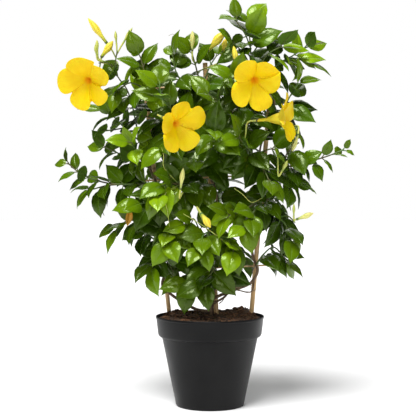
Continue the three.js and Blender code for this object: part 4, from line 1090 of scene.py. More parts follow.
@dataclass
class CaneFan:
    """Three uprights, three cross canes, and a wire loop at each crossing."""

    foot: float = 92.0
    joints: Tuple[float, ...] = (181.0, 274.0, 374.0, 466.0)
    joint_reach: float = 2.2
    ridge: float = 0.09
    groove: float = 0.05
    groove_drop: float = 4.18
    scar: float = 0.8
    scar_drop: float = 2.6
    scar_reach: float = 1.5
    hollow: float = 0.38
    hollow_depth: float = 5.0
    sides: int = 20
    bar_joints: Tuple[float, ...] = (0.16, 0.52, 0.84)
    bar_joint_reach: float = 2.5
    bar_scar: float = 0.7
    bar_scar_reach: float = 2.0
    bar_sides: int = 14
    bar_step: float = 3.0
    swell: float = 1.04
    waist: float = 0.97
    bar_radius: float = 1.5
    gap: float = 0.3
    wire: float = 0.5
    slack: float = 1.08
    loop_steps: int = 48
    twist_steps: int = 16
    twist_turn: float = 0.7
    step: float = 2.0

    def bar_depth(self) -> float:
        """Returns how far back the middle of the cross canes is."""
        return CANES["left"].back + self.gap + self.bar_radius

    def upright(self, cane: Cane, finishes: Finishes) -> None:
        """Makes a cane with swollen joints and a hollow top."""
        count = rounded((cane.top - self.foot) / self.step)
        path = [cane.at(lerp(self.foot, cane.top, i / count)) for i in range(count + 1)]

        def radius_at(share: float) -> float:
            """Returns the cane's radius: a groove below each joint and a ridge on it."""
            height = lerp(self.foot, cane.top, share)
            ridge = hills(height, self.joints, self.joint_reach)
            groove = hills(height + self.groove_drop, self.joints, self.joint_reach)
            return cane.radius * (self.waist + self.ridge * ridge - self.groove * groove)

        def scar_at(place: Vector) -> float:
            """Returns how dark the cane is: it has a scar below each joint."""
            return min(1.0, self.scar * hills(place.z + self.scar_drop, self.joints, self.scar_reach))

        tube = sweep(path, radius_at, self.sides)
        mark(tube, scar_at)
        tube.faces.ensure_lookup_table()
        end = max(tube.faces, key=lambda face: face.calc_center_median().z)
        bmesh.ops.inset_region(tube, faces=[end], thickness=cane.radius * self.hollow)
        bmesh.ops.translate(tube, vec=(0.0, 0.0, -self.hollow_depth), verts=end.verts)
        Making(f"bamboo_{cane.name}", (finishes.bamboo,), "bamboo", (f"cane_{cane.name}",)).finish(tube)

    def cross(self, bar: Bar, finishes: Finishes) -> None:
        """Makes a thin cross cane with small joints."""
        count = rounded((bar.end - bar.start) / self.bar_step)
        xs = [lerp(bar.start, bar.end, i / count) for i in range(count + 1)]
        joints = [lerp(bar.start, bar.end, share) for share in self.bar_joints]

        def radius_at(share: float) -> float:
            """Returns the bar's radius, a little thicker at its joints."""
            ridge = hills(lerp(bar.start, bar.end, share), joints, self.bar_joint_reach)
            return self.bar_radius * (0.96 + 0.12 * ridge - 0.08 * share)

        path = [Vector((x, self.bar_depth(), bar.at(x))) for x in xs]
        tube = sweep(path, radius_at, self.bar_sides)
        mark(tube, lambda place: min(1.0, self.bar_scar * hills(place.x, joints, self.bar_scar_reach)))
        Making(f"cross_cane_{bar.name}", (finishes.bamboo,), "bamboo", (f"bar_{bar.name}",)).finish(tube)

    def loop(self, cane: Cane, bar: Bar) -> Tuple[List[Vector], Vector]:
        """Lays a wire round a cane and the bar behind it.

        Args:
            cane: the upright.
            bar: the cross cane.

        Returns:
            The points of the closed loop, and where its twisted ends start.
        """
        x = cane.at(bar.at(cane.x)).x
        front = cane.back - cane.radius * (1 + self.swell) - self.gap - self.wire
        back = self.bar_depth() + self.bar_radius + self.gap + self.wire
        half = cane.radius * self.swell + self.gap + 2 * self.wire
        lift = self.bar_radius + self.gap + 3 * self.wire
        centre = Vector((x, (front + back) / 2, bar.at(x)))
        points = []
        for i in range(self.loop_steps):
            turn = i / self.loop_steps * math.tau
            c, s = math.cos(turn), math.sin(turn)
            grow = self.slack / (abs(c) ** 3 + abs(s) ** 3) ** (1 / 3)
            rise = lift * max(-1.0, min(1.0, c * 2.5))
            points.append(centre + Vector((c * half * grow, s * (back - front) / 2 * grow, rise)))
        return points, points[self.loop_steps * 2 // 3]

    def tie(self, cane: Cane, bar: Bar, finishes: Finishes) -> None:
        """Makes a wire loop with its two ends twisted together."""
        points, start = self.loop(cane, bar)
        ring = sweep(points, lambda share: self.wire, 8, closed=True)
        tails = []
        for turn in (0.0, math.pi):
            path = []
            for i in range(self.twist_steps):
                at = turn + i * self.twist_turn
                c, s = math.cos(at) * self.wire, math.sin(at) * self.wire
                path.append(start + Vector((c - i * 0.16, -i * 0.12, s - i * 0.42)))
            tails.append(sweep(path, lambda share: self.wire * 0.8, 6))
        name = f"{bar.name}_{cane.name}"
        Making(f"wire_{name}", (finishes.wire,), "tie_wire", (f"tie_{name}",)).finish(joined([ring, *tails]))

    def build(self, finishes: Finishes) -> None:
        """Makes the whole fan."""
        for cane in CANES.values():
            self.upright(cane, finishes)
        for bar in BARS:
            self.cross(bar, finishes)
            for cane in CANES.values():
                self.tie(cane, bar, finishes)


# Woody stems


@dataclass
class WoodyStem:
    """A brown stem: its places from the trunk to its cane, and the heights between which it climbs."""

    cane: Cane
    via: Tuple[Place, ...]
    climb: Pair
    radius: float
    tip: float = 1.5
    clear: float = 3.0
    swell: float = 1.04
    step: float = 22.0
    turn_step: float = 12.0
    route: Route = field(init=False)

    def __post_init__(self) -> None:
        """Lays the stem's way: it passes in front of its cane at each bar, and behind halfway between."""
        low, high = self.climb
        spacing = BARS[1].height - BARS[0].height
        points = EYE.places(self.via)
        height = low
        while height <= high:
            turn = (height - BARS[0].height - BARS[0].rise * self.cane.x) / spacing * math.tau
            share = lerp(0.3, 1.0, (height - low) / (high - low))
            reach = self.cane.radius * self.swell + self.clear + self.width(share)
            points.append(self.cane.at(height) + Vector((-math.sin(turn), -math.cos(turn), 0.0)) * reach)
            height += self.turn_step
        self.route = Route(points, self.step)

    def width(self, share: float) -> float:
        """Returns the stem's radius at a share of its length."""
        return lerp(self.radius, self.tip, share)

    def at_height(self, height: float) -> Tuple[Vector, float]:
        """Returns the point of the climbing part at a height, and the stem's radius there."""
        share = 1.0
        while share > 0 and self.route.at(share)[0].z > height:
            share -= 0.002
        return self.route.at(share)[0], self.width(share)


STEMS = {
    "left": WoodyStem(
        CANES["left"],
        ((0, 146, 9), (-28.6, 152, 4), (-45.5, 162.8, 4), (-59.5, 172, 6), (-68, 180, 8.5), (-75, 189, 9.5)),
        (206.0, 486.0),
        2.4,
    ),
    "middle": WoodyStem(CANES["middle"], ((4, 166, 9), (4.5, 180, 8.5)), (196.0, 504.0), 2.4),
    "right": WoodyStem(
        CANES["right"],
        ((4, 166, 8), (13.5, 169.5, 7.5), (24.7, 175.2, 6), (37.6, 180.1, 5), (50, 184.2, 6), (62, 189, 8.5)),
        (206.0, 492.0),
        2.5,
    ),
}


@dataclass(frozen=True)
class Strand:
    """A thinner strand of the right stem, which leaves it and grows together with it again."""

    via: Tuple[Place, ...]
    radius: float


STRANDS = (
    Strand(((4, 158, 6), (14, 162, 2.5), (26, 172, 0.8), (40, 184.5, 0.8), (56, 187, 6.5)), 1.8),
    Strand(((40, 180.5, 5.5), (50, 174.5, 5.5), (64, 177, 8), (74, 187, 8.5), (71, 200, 9)), 1.1),
    Strand(((23.5, 171, 2), (21.7, 167, 1), (18.7, 160.5, 0), (14.8, 158.5, 2)), 0.7),
)


@dataclass
class Wood:
    """The trunk, and the brown stems and strands that twine up the canes."""

    x: float = 2.2
    y: float = 9.6
    foot: float = 70.0
    radius: float = 4.4
    taper: float = 1.4
    roughness: float = 0.52
    knots: Tuple[Pair, ...] = ((0.35, 1.0), (1.1, 0.6))

    def gnarled(self, tube: BMesh) -> BMesh:
        """Roughens a tube's bark."""
        tube.normal_update()
        for vert in tube.verts:
            vert.co += vert.normal * lumps(vert.co, self.knots) * self.roughness
        mark(tube, lambda place: smoothstep(0.15, 0.6, noise.noise(place * 0.06)) * 0.7)
        return tube

    def build(self, finishes: Finishes) -> None:
        """Makes the trunk and stems as one piece."""
        via = [
            Vector((self.x, self.y, self.foot)),
            Vector((self.x, self.y, 128.0)),
            Vector((self.x - 0.6, self.y - 0.6, 150.0)),
            EYE.place((4, 168, 9)),
        ]
        trunk = Route(via, 30.0).path(4.0)
        parts = [self.gnarled(sweep(trunk, lambda share: self.radius - self.taper * share, 14))]
        for stem in STEMS.values():
            parts.append(self.gnarled(sweep(stem.route.path(3.5), stem.width, 10)))
        for strand in STRANDS:
            path = Route(EYE.places(strand.via), 22.0).path(2.5)
            parts.append(self.gnarled(sweep(path, lambda share, r=strand.radius: r, 8)))
        making = Making("bark_stems", (finishes.bark,), "woody_stem", ("woody_stems",), crease=60.0)
        making.finish(joined(parts))


# Sprays


class SprayMaterial(IntEnum):
    """The places of a spray's materials in its piece."""

    LEAF = 0
    STEM = 1
    BUD = 2
    BARK = 3


@dataclass
class Shoot:
    """A green shoot of a spray: its places, its pairs of leaves, their length at its root and tip.

    Its turn is in degrees, and a side shoot starts on another at a share of that one's length.
    """

    via: Sequence[Place]
    pairs: int
    leaf: Pair
    turn: float
    on: int = -1
    at: float = 0.0
    young: bool = False
    seed: int = 0
    thick: float = 1.5
    route: Optional[Route] = None

    def width(self, share: float) -> float:
        """Returns the shoot's radius at a share of its length."""
        return lerp(self.thick, 1.0, share)


@dataclass
class Spray:
    """A leafy spray: the stem and height that it leaves from, and its shoots."""

    name: str
    wood: str
    height: float
    shoots: List[Shoot]

    @property
    def node(self) -> str:
        """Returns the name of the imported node."""
        return f"spray_{self.name}"


# a shoot's row: places, pairs, leaf lengths and turn; on which shoot it starts and where; whether it's young
SPRAYS = [Spray(name, wood, height, [Shoot(*row) for row in rows]) for name, wood, height, rows in (
  ("top_left", "left", 432, [
    ([(-126, 484, -10), (-144, 514, -24), (-155, 536, -32)], 4, (50, 38), 40),
    ([(-168, 541, -38), (-175, 537, -42)], 0, (24, 22), 0, 0, 0.96),
    ([(-150, 550, -30), (-146, 556, -30)], 1, (34, 30), 60, 0, 0.86),
  ]),
  ("upper_left", "left", 458, [
    ([(-96, 500, -28), (-105, 530, -42), (-110, 548, -40)], 5, (50, 38), 90),
    ([(-124, 506, -34), (-142, 496, -40)], 3, (48, 42), 20, 0, 0.4),
  ]),
  ("top_middle", "middle", 478, [
    ([(-18, 516, -2), (-24, 540, -8), (-28, 552, -10)], 4, (50, 40), 90),
    ([(-44, 508, -20), (-56, 532, -28), (-58, 548, -26)], 4, (50, 40), 40, 0, 0.12),
    ([(0, 532, 12), (10, 548, 22)], 2, (44, 38), 60, 0, 0.3),
  ]),
  ("crown", "right", 462, [
    ([(66, 520, -8), (64, 560, -14), (60, 600, -14)], 6, (54, 46), 50),
    ([(100, 530, 0), (126, 546, -4), (150, 562, -8)], 4, (50, 38), 60, 0, 0.25),
    ([(164, 566, -10), (178, 570, -10)], 0, (14, 12), 0, 1, 0.96),
    ([(78, 568, -12), (90, 574, -14)], 2, (46, 42), 70, 0, 0.6),
    ([(48, 560, -22), (36, 570, -26)], 2, (44, 40), 10, 0, 0.5),
    ([(134, 546, -12), (154, 538, -16)], 3, (46, 40), 60, 1, 0.45),
    ([(92, 552, -24), (110, 562, -30)], 3, (46, 42), 40, 0, 0.4),
    ([(52, 590, -22), (42, 602, -26)], 2, (40, 36), 90, 0, 0.72),
  ]),
  ("right_upper", "right", 425, [
    ([(115, 465, -15), (130, 492, -24), (138, 504, -26)], 4, (52, 42), 110),
    ([(120, 446, -18), (128, 434, -16)], 2, (50, 44), 40, 0, 0.35),
  ]),
  ("right_middle", "right", 352, [
    ([(118, 372, -20), (150, 381, -30), (178, 388, -34), (211, 401, -36)], 6, (50, 18), 90),
    ([(122, 348, -8), (138, 346, -10)], 3, (48, 40), 45, 0, 0.18),
    ([(124, 402, -26), (140, 412, -30)], 3, (48, 42), 30, 0, 0.3),
  ]),
  ("right_low", "right", 284, [
    ([(106, 294, -20), (122, 280, -28), (128, 262, -32)], 4, (52, 42), 60),
    ([(128, 296, -40), (134, 286, -46)], 0, (20, 20), 0, 0, 0.55),
  ]),
  ("right_base", "right", 232, [
    ([(92, 248, 6), (108, 242, 8), (118, 230, 8)], 4, (50, 40), 30),
  ]),
  ("low_front", "middle", 206, [
    ([(4, 216, -32), (2, 206, -56), (-8, 190, -66)], 4, (54, 42), 40),
    ([(-20, 204, -38), (-32, 192, -46)], 2, (48, 44), 0, 0, 0.35),
  ]),
  ("low_left", "left", 232, [
    ([(-86, 234, -2), (-92, 218, -8)], 3, (46, 44), 20),
    ([(-66, 224, -18), (-58, 210, -26)], 2, (44, 40), 0, 0, 0.35),
  ]),
  ("left_low", "left", 286, [
    ([(-112, 290, -8), (-132, 286, -14), (-146, 278, -16)], 4, (48, 40), 0),
  ]),
  ("left_shoot", "left", 330, [
    ([(-130, 346, -16), (-170, 350, -22), (-204, 364, -26), (-224, 380, -26)], 6, (48, 28), 10),
    ([(-164, 344, -26), (-186, 338, -30)], 3, (46, 38), 90, 0, 0.4),
  ]),
  ("left", "left", 374, [
    ([(-130, 388, 10), (-150, 398, 12), (-164, 404, 10)], 3, (44, 36), 5),
    ([(-116, 400, -40), (-124, 412, -60)], 3, (44, 36), 0, 0, 0.2, True),
  ]),
  ("left_upper", "left", 396, [
    ([(-124, 424, 22), (-148, 450, 12), (-168, 462, 2)], 4, (50, 42), 60),
    ([(-152, 432, 4), (-168, 430, -4)], 3, (48, 42), 30, 0, 0.5),
  ]),
  ("front_left", "middle", 318, [
    ([(-42, 345, -50), (-66, 348, -84), (-82, 332, -98)], 4, (52, 42), 0, -1, 0.0, True),
    ([(-84, 322, -46), (-108, 316, -62)], 3, (50, 44), 40, 0, 0.35),
  ]),
  ("front_middle", "middle", 385, [
    ([(4, 410, -50), (8, 424, -86), (2, 430, -104)], 4, (58, 48), 20),
    ([(-22, 392, -76), (-36, 376, -88)], 3, (52, 46), 50, 0, 0.4),
  ]),
  ("front_upper_left", "middle", 424, [
    ([(-46, 450, -46), (-72, 476, -74), (-80, 502, -80)], 5, (52, 40), 60),
    ([(-64, 424, -64), (-74, 404, -80)], 3, (52, 46), 40, 0, 0.26),
    ([(-78, 452, -34), (-98, 452, -40)], 2, (48, 44), 60, 0, 0.12),
  ]),
  ("front_upper_right", "right", 436, [
    ([(52, 470, -40), (40, 492, -66), (36, 515, -72)], 4, (50, 40), 10),
    ([(16, 476, -60), (0, 486, -70)], 3, (48, 42), 30, 0, 0.4),
  ]),
  ("front_right", "right", 384, [
    ([(62, 400, -42), (52, 412, -72), (46, 420, -84)], 3, (54, 46), 30),
    ([(96, 402, -46), (110, 394, -66)], 3, (52, 44), 10, 0, 0.3),
    ([(84, 372, -58), (92, 354, -70)], 3, (50, 44), 40, 0, 0.4),
  ]),
  ("front_right_low", "right", 306, [
    ([(72, 308, -46), (64, 296, -78), (56, 280, -88)], 4, (48, 38), 0, -1, 0.0, True),
    ([(44, 302, -66), (30, 298, -82)], 2, (42, 36), 0, 0, 0.3),
  ]),
  ("front_low", "middle", 256, [
    ([(0, 270, -48), (-12, 264, -80), (-14, 246, -92)], 4, (50, 40), 20, -1, 0.0, True),
    ([(30, 254, -56), (38, 244, -76)], 3, (46, 40), 0, 0, 0.35, True),
    ([(-26, 292, -56), (-36, 284, -72)], 2, (46, 40), 30, 0, 0.2),
  ]),
  ("front_low_left", "left", 258, [
    ([(-64, 274, -36), (-60, 270, -64), (-66, 256, -78)], 4, (50, 42), 90, -1, 0.0, True),
  ]),
  ("back_left", "left", 306, [
    ([(-92, 318, 70), (-100, 334, 108), (-96, 352, 130)], 4, (52, 42), 0),
    ([(-108, 296, 74), (-112, 282, 94)], 3, (50, 40), 20, 0, 0.3),
  ]),
  ("back_low", "middle", 268, [
    ([(0, 262, 72), (-10, 254, 108), (-14, 236, 124)], 4, (52, 40), 10),
    ([(36, 248, 80), (52, 236, 100)], 3, (48, 40), 30, 0, 0.3),
  ]),
  ("back_middle", "middle", 352, [
    ([(2, 366, 76), (-6, 382, 118), (-10, 404, 140)], 5, (52, 38), 30),
  ]),
  ("back_right", "right", 330, [
    ([(96, 340, 66), (106, 350, 100), (104, 368, 122)], 4, (52, 42), 0),
    ([(108, 306, 72), (114, 292, 92)], 3, (50, 40), 20, 0, 0.3),
  ]),
  ("back_top_left", "left", 440, [
    ([(-84, 462, 66), (-88, 488, 94), (-80, 512, 104)], 5, (50, 36), 20),
  ]),
  ("back_top_right", "right", 446, [
    ([(84, 470, 62), (84, 500, 90), (74, 526, 98)], 5, (50, 36), 0),
    ([(36, 470, 72), (14, 490, 96)], 3, (48, 40), 20, 0, 0.2),
  ]),
)]


@dataclass(frozen=True)
class Vine:
    """A thin young shoot or dried tendril with a free tip, which leaves a shoot of a spray."""

    spray: str
    shoot: int
    at: float
    via: Tuple[Place, ...]
    radius: float
    dried: bool = False


VINES = (
    Vine("front_left", 0, 0.62, ((-72, 372, -96), (-73, 390, -98), (-76, 404, -96)), 0.7),
    Vine("front_left", 0, 0.62, ((-71, 330, -100), (-67, 304, -100), (-64, 280, -96)), 0.7),
    Vine("front_low", 1, 0.5, ((10, 266, -78), (-14, 283, -86), (-42, 300, -92)), 0.8),
    Vine("front_right_low", 0, 0.25, ((66, 318, -70), (52, 330, -78), (38, 340, -82)), 0.8),
    Vine(
        "top_middle", 1, 0.98,
        ((-56, 566, -28), (-54, 577, -30), (-59, 583, -30), (-65, 580, -30)), 0.6, dried=True,
    ),
)


@dataclass(frozen=True)
class Bud:
    """A bud on a stalk from a point of a shoot: its foot, its tip and its thickest radius."""

    name: str
    spray: str
    shoot: int
    at: float
    foot: Place
    tip: Place
    girth: float
    tint: BudTint = BudTint.YELLOW

    def stand(self) -> Tuple[Vector, Vector, float]:
        """Returns where the bud's foot is, which way it points, and its length."""
        foot, tip = EYE.places((self.foot, self.tip))
        return foot, (tip - foot).normalized(), (tip - foot).length


BUDS = (
    Bud("long", "top_left", 2, 0.7, (-162, 568, -32), (-192, 608, -36), 5.2),
    Bud("beside_bloom", "top_left", 1, 0.3, (-171, 546, -36), (-152.5, 572, -40), 5.6),
    Bud("top_opening", "top_middle", 0, 0.8, (-4, 556, -16), (24, 587, -24), 7.0),
    Bud("top_small", "top_middle", 0, 0.62, (20, 553, -8), (25, 576, -10), 4.5),
    Bud("top_pale", "top_middle", 0, 0.8, (-28, 556, -24), (-27.5, 588, -26), 4.2, BudTint.PALE),
    Bud("right_hanging", "right_upper", 1, 0.9, (139, 425, -50), (129, 398, -56), 4.0, BudTint.PALE),
    Bud("behind_bloom", "front_upper_right", 0, 0.8, (44, 528, -70), (37, 564, -70), 4.5),
    Bud("left_front", "front_left", 0, 0.5, (-46.5, 338, -100), (-42, 372, -104), 3.6, BudTint.PALE),
    Bud("middle_front", "front_low", 0, 0.5, (-14, 301, -92), (1, 278, -98), 5.4),
    Bud("right_low", "right_low", 1, 0.96, (136, 291, -50), (163, 301, -54), 4.2, BudTint.PALE),
)
GREEN_BUDS = (
    Bud("", "top_left", 1, 0.72, (-178, 547, -42), (-181, 566, -44), 2.4),
    Bud("", "top_left", 1, 0.5, (-177, 552, -36), (-178, 574, -36), 2.8),
    Bud("", "top_left", 2, 0.95, (-147, 566, -30), (-149, 588, -30), 2.4),
    Bud("", "top_left", 2, 0.82, (-137, 568, -28), (-122, 593, -26), 2.8),
    Bud("", "front_right", 1, 0.9, (113, 366, -72), (122, 384, -74), 3.0),
    Bud("", "right_low", 1, 0.96, (132, 294, -48), (132, 316, -50), 2.2),
)


@dataclass(frozen=True)
class Lobe:
    """A flower's lobe: where it stands in degrees, how far out the notch after it is, and its form."""

    turn: float
    notch: float
    blunt: float = 2.8
    reach: float = 1.0


@dataclass(frozen=True)
class Bloom:
    """An open flower: where its throat is, which way it faces, its lobes, and its size."""

    name: str
    spray: str
    shoot: int
    at: float
    throat: Place
    facing: Place
    lobes: Tuple[Lobe, ...]
    size: float


BLOOMS = (
    Bloom(
        "left", "top_left", 1, 0.88, (-194, 508, -74), (-0.25, -0.85, -0.42),
        (
            Lobe(-132, 0.50), Lobe(-63, 0.34), Lobe(-6, 0.84, 1.7, 1.06), Lobe(72, 0.66, 2.6, 0.98),
            Lobe(153, 0.42),
        ),
        1.0,
    ),
    Bloom(
        "right", "front_upper_right", 0, 0.7, (71, 508, -112), (0.15, -0.88, -0.42),
        (
            Lobe(-136, 0.36), Lobe(-65, 0.44), Lobe(2, 0.86, 1.7, 0.80), Lobe(60, 0.66, 1.8, 0.78),
            Lobe(142, 0.44, 1.8, 0.97),
        ),
        1.0,
    ),
    Bloom(
        "middle", "front_upper_left", 0, 0.42, (-50, 440, -130), (0.6, -0.72, -0.34),
        (Lobe(-150, 0.56, 1.6), Lobe(-88, 0.50), Lobe(-16, 0.40), Lobe(66, 0.56, 2.6), Lobe(150, 0.74, 1.5)),
        0.96,
    ),
    Bloom(
        "side", "front_right", 0, 0.8, (112, 450, -92), (0.93, -0.3, 0.05),
        (Lobe(25, 0.42), Lobe(97, 0.50), Lobe(169, 0.42), Lobe(241, 0.50), Lobe(313, 0.42)),
        0.9,
    ),
)


# Leaves


@dataclass
class Leaf:
    """A leaf's blade: where it starts, its three directions, and its size, arch and fold."""

    root: Vector
    base: Vector
    heading: Vector
    face: Vector
    side: Vector
    length: float
    width: float
    curl: float
    fold: float
    share: float
    seed: int

    def facing(self, u: float) -> Vector:
        """Returns the direction that the upper side faces, u of the way along."""
        return self.face * math.cos(self.curl * u) + self.heading * math.sin(self.curl * u)

    def place(self, u: float, across: float, raised: float) -> Vector:
        """Finds a point of the blade.

        Args:
            u: how far along the blade, from 0 to 1.
            across: how far from its rib, in millimetres, to either side.
            raised: how far above its rib, in millimetres.

        Returns:
            The point.
        """
        angle = self.curl * u
        forward = self.length * math.sin(angle) / self.curl
        down = self.length * (1 - math.cos(angle)) / self.curl
        return (
            self.base
            + self.heading * (forward + raised * math.sin(angle))
            + self.face * (raised * math.cos(angle) - down)
            + self.side * across
        )


@dataclass
class LeafRules:
    """How leaves stand on a shoot and find their ways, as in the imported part."""

    node: float = 2.4
    first_pair: float = 18.0
    last_pair: float = 0.97
    pair_step: float = 18.5
    petiole: float = 5.5
    facing: float = 0.35
    light_from: float = 60.0
    swing: float = 25.0
    along: Pair = (0.4, 0.25)
    outward: Pair = (0.3, 0.2)
    droop: Pair = (0.45, 0.3)
    sway: Place = (0.4, 0.25, 0.2)
    lit: Pair = (0.4, 0.4)
    lit_over: Pair = (250.0, 300.0)
    length: Pair = (1.0, 0.1)
    stalk: Pair = (0.8, 0.4)
    breadth: Pair = (0.6, 0.14)
    curl: Pair = (0.35, 0.75)
    fold: Pair = (0.02, 0.2)
    seeds: Tuple[int, int, int] = (101, 37, 7919)
    tries: int = 18

    def stand(self, shoot: Shoot) -> List[Tuple[Vector, Vector, Callable[[float], Vector], float]]:
        """Finds each pair's place on a shoot.

        Args:
            shoot: the shoot, with its route laid.

        Returns:
            For each pair: the point, the direction of the shoot, the way out of it at an angle, and the
            angle of its first corner.
        """
        first = min(0.5, self.first_pair / shoot.route.length)
        half = self.node / 2 / shoot.route.length
        shares = [0.0]
        for pair in range(shoot.pairs):
            share = lerp(first, self.last_pair, pair / (shoot.pairs - 1) if shoot.pairs > 1 else 0.0)
            shares += [share - half, share + half]
        across: Optional[Vector] = None
        found = []
        for i, share in enumerate(shares):
            point, along = shoot.route.at(share)
            across = carried(across, along)
            if i > 0 and i % 2 == 0:
                x, beside = across, along.cross(across)
                angle = math.radians(shoot.turn - 30 * (i // 2 - 1))

                def way(turn: float, x: Vector = x, beside: Vector = beside) -> Vector:
                    """Returns the direction out of the shoot at an angle."""
                    return x * math.cos(turn) + beside * math.sin(turn)

                found.append((point, along, way, angle))
        return found

    def leaf(self, shoot: Shoot, stand: Tuple, pair: int, side: int, attempt: int) -> Leaf:
        """Draws a leaf: pairs stand crosswise to each other, and each blade turns to the light.

        Args:
            shoot: the shoot that bears it.
            stand: the pair's place, from stand().
            pair: which pair, counted from the shoot's root.
            side: which of the pair, 0 or 1.
            attempt: how many ways it tried before this one.

        Returns:
            The leaf.
        """
        per_pair, per_side, per_attempt = self.seeds
        draws = Draws(shoot.seed + pair * per_pair + side * per_side + attempt * per_attempt)
        wild = 1 + attempt * 0.15
        share = pair / (shoot.pairs - 1) if shoot.pairs > 1 else 0.0
        point, along, way, angle = stand
        face_angle = angle + math.radians(60 + 120 * ((pair + side) % 3))
        azimuth = face_angle + math.radians((-30 if side == 0 else 30) + draws.spread() * self.swing * wild)
        out = Vector((point.x * 0.7, point.y - self.light_from, 0.0)).normalized()
        heading = way(azimuth)
        tipward = share * share
        heading = heading + along * (draws.around(*self.along) + tipward)
        heading = heading + out * draws.around(*self.outward)
        heading = heading + UP * ((-self.droop[0] - self.droop[1] * draws.next() * wild) * (1 - tipward))
        heading.normalize()
        agrees = heading.dot(way(face_angle))
        if agrees < self.facing:
            heading = (heading + way(face_angle) * (self.facing - agrees)).normalized()
        low, over = self.lit_over
        light = self.lit[0] + self.lit[1] * min(1.0, max(0.0, (point.z - low) / over))
        jitter = Vector([draws.spread() * most * wild for most in self.sway])
        face = square(UP * light + out + jitter, heading)
        length = lerp(*shoot.leaf, share) * draws.around(*self.length)
        base = point + heading * self.petiole * draws.over(*self.stalk)
        width = length * draws.over(*self.breadth)
        curl, fold = draws.over(*self.curl), draws.over(*self.fold)
        crosswise = heading.cross(face)
        return Leaf(point, base, heading, face, crosswise, length, width, curl, fold, share, draws.state)


@dataclass
class LeafForm:
    """The visible form of a blade: oval, with a short point, a round bulge and a wavy edge."""

    stations: Tuple[float, ...] = (0.0, 0.06, 0.18, 0.34, 0.52, 0.70, 0.84, 0.92, 1.0)
    across: int = 4
    swell: Pair = (0.60, 0.90)
    oval: float = 0.93
    drip: float = 0.11
    thick: float = 0.5
    wave: float = 0.9
    crown: float = 0.56
    roll: float = 0.68

    def half(self, u: float) -> float:
        """Returns the blade's half-width at u, against its greatest: an oval, and a narrow tip beyond it."""
        rise, fall = self.swell
        peak = rise / (rise + fall)
        most = peak**rise * (1 - peak) ** fall
        along = u / self.oval
        round_part = max(0.0, along) ** rise * max(0.0, 1 - along) ** fall / most
        return max(round_part, self.drip * (1 - u) / (1 - self.oval) if u > 0.5 else 0.0) if u < 1 else 0.0

    def blade(self, leaf: Leaf, tone: Triple) -> BMesh:
        """Builds a blade from a grid.

        Args:
            leaf: its place and size.
            tone: how young, how light and how withered it is.

        Returns:
            The closed blade.
        """
        bm = blank()
        blade = bm.verts.layers.float_vector[BLADE]
        shade = bm.verts.layers.float_color[TONE]
        long = len(self.stations) - 1
        bmesh.ops.create_grid(bm, x_segments=long, y_segments=self.across, size=1.0)
        phase = leaf.seed % 628 / 100
        for vert in bm.verts:
            u = self.stations[rounded((vert.co.x + 1) / 2 * long)]
            v = max(-1.0, min(1.0, vert.co.y))
            reach = v * self.half(u) * leaf.width / 2
            raised = abs(reach) * (math.sin(leaf.fold) + self.crown - self.roll * abs(v))
            raised += self.wave * math.sin(9.5 * u + phase + (2.1 if v > 0 else 0.0)) * v * v * self.half(u)
            vert.co = leaf.place(u, reach * math.cos(leaf.fold), raised)
            vert[blade] = Vector((u, v, 1.0))
            vert[shade] = (*tone, 1.0)
        bmesh.ops.remove_doubles(bm, verts=bm.verts, dist=WELD)
        bm.faces.ensure_lookup_table()
        bm.normal_update()
        middle = max(bm.faces, key=lambda face: face.calc_area())
        if middle.normal.dot(leaf.facing(0.5)) < 0:
            bmesh.ops.reverse_faces(bm, faces=bm.faces)
        thicken(bm, self.thick)
        for edge in bm.edges:
            edge.smooth = any(abs(vert[blade].y) > 0.01 for vert in edge.verts)
        return bm

    def petiole(self, leaf: Leaf, start: Vector) -> BMesh:
        """Returns the leaf's stalk, which runs on under the blade as its rib."""
        path = [start, leaf.base]
        path += [leaf.place(u, 0.0, -self.thick - 0.1) for u in (0.12, 0.32, 0.56)]
        widths = (1.0, 0.85, 0.72, 0.55, 0.25)
        return sweep(path, lambda share: widths[rounded(share * 4)], 5, SprayMaterial.STEM)


@dataclass(frozen=True)
class Patch:
    """A round place, seen from the front, where the leaves are young and bright, or dark."""

    x: float
    z: float
    radius: float

    def holds(self, x: float, z: float) -> bool:
        """Tells whether a place lies in the patch."""
        return math.hypot(x - self.x, z - self.z) < self.radius


BRIGHT = [Patch(*row) for row in (
    (-121, 407, 27), (31, 242, 20), (61, 215, 16), (-72, 322, 18), (28, 288, 15), (-54, 267, 16),
    (-131, 521, 13), (-98, 512, 18), (-83, 475, 17), (152, 550, 30), (120, 529, 14), (80, 606, 24),
    (76, 370, 12), (29, 214, 14),
)]
DARK = [Patch(*row) for row in (
    (-10, 165, 32), (-90, 272, 34), (14, 378, 30), (-50, 358, 26), (66, 340, 30), (106, 268, 34),
    (-112, 446, 26), (16, 468, 26),
)]


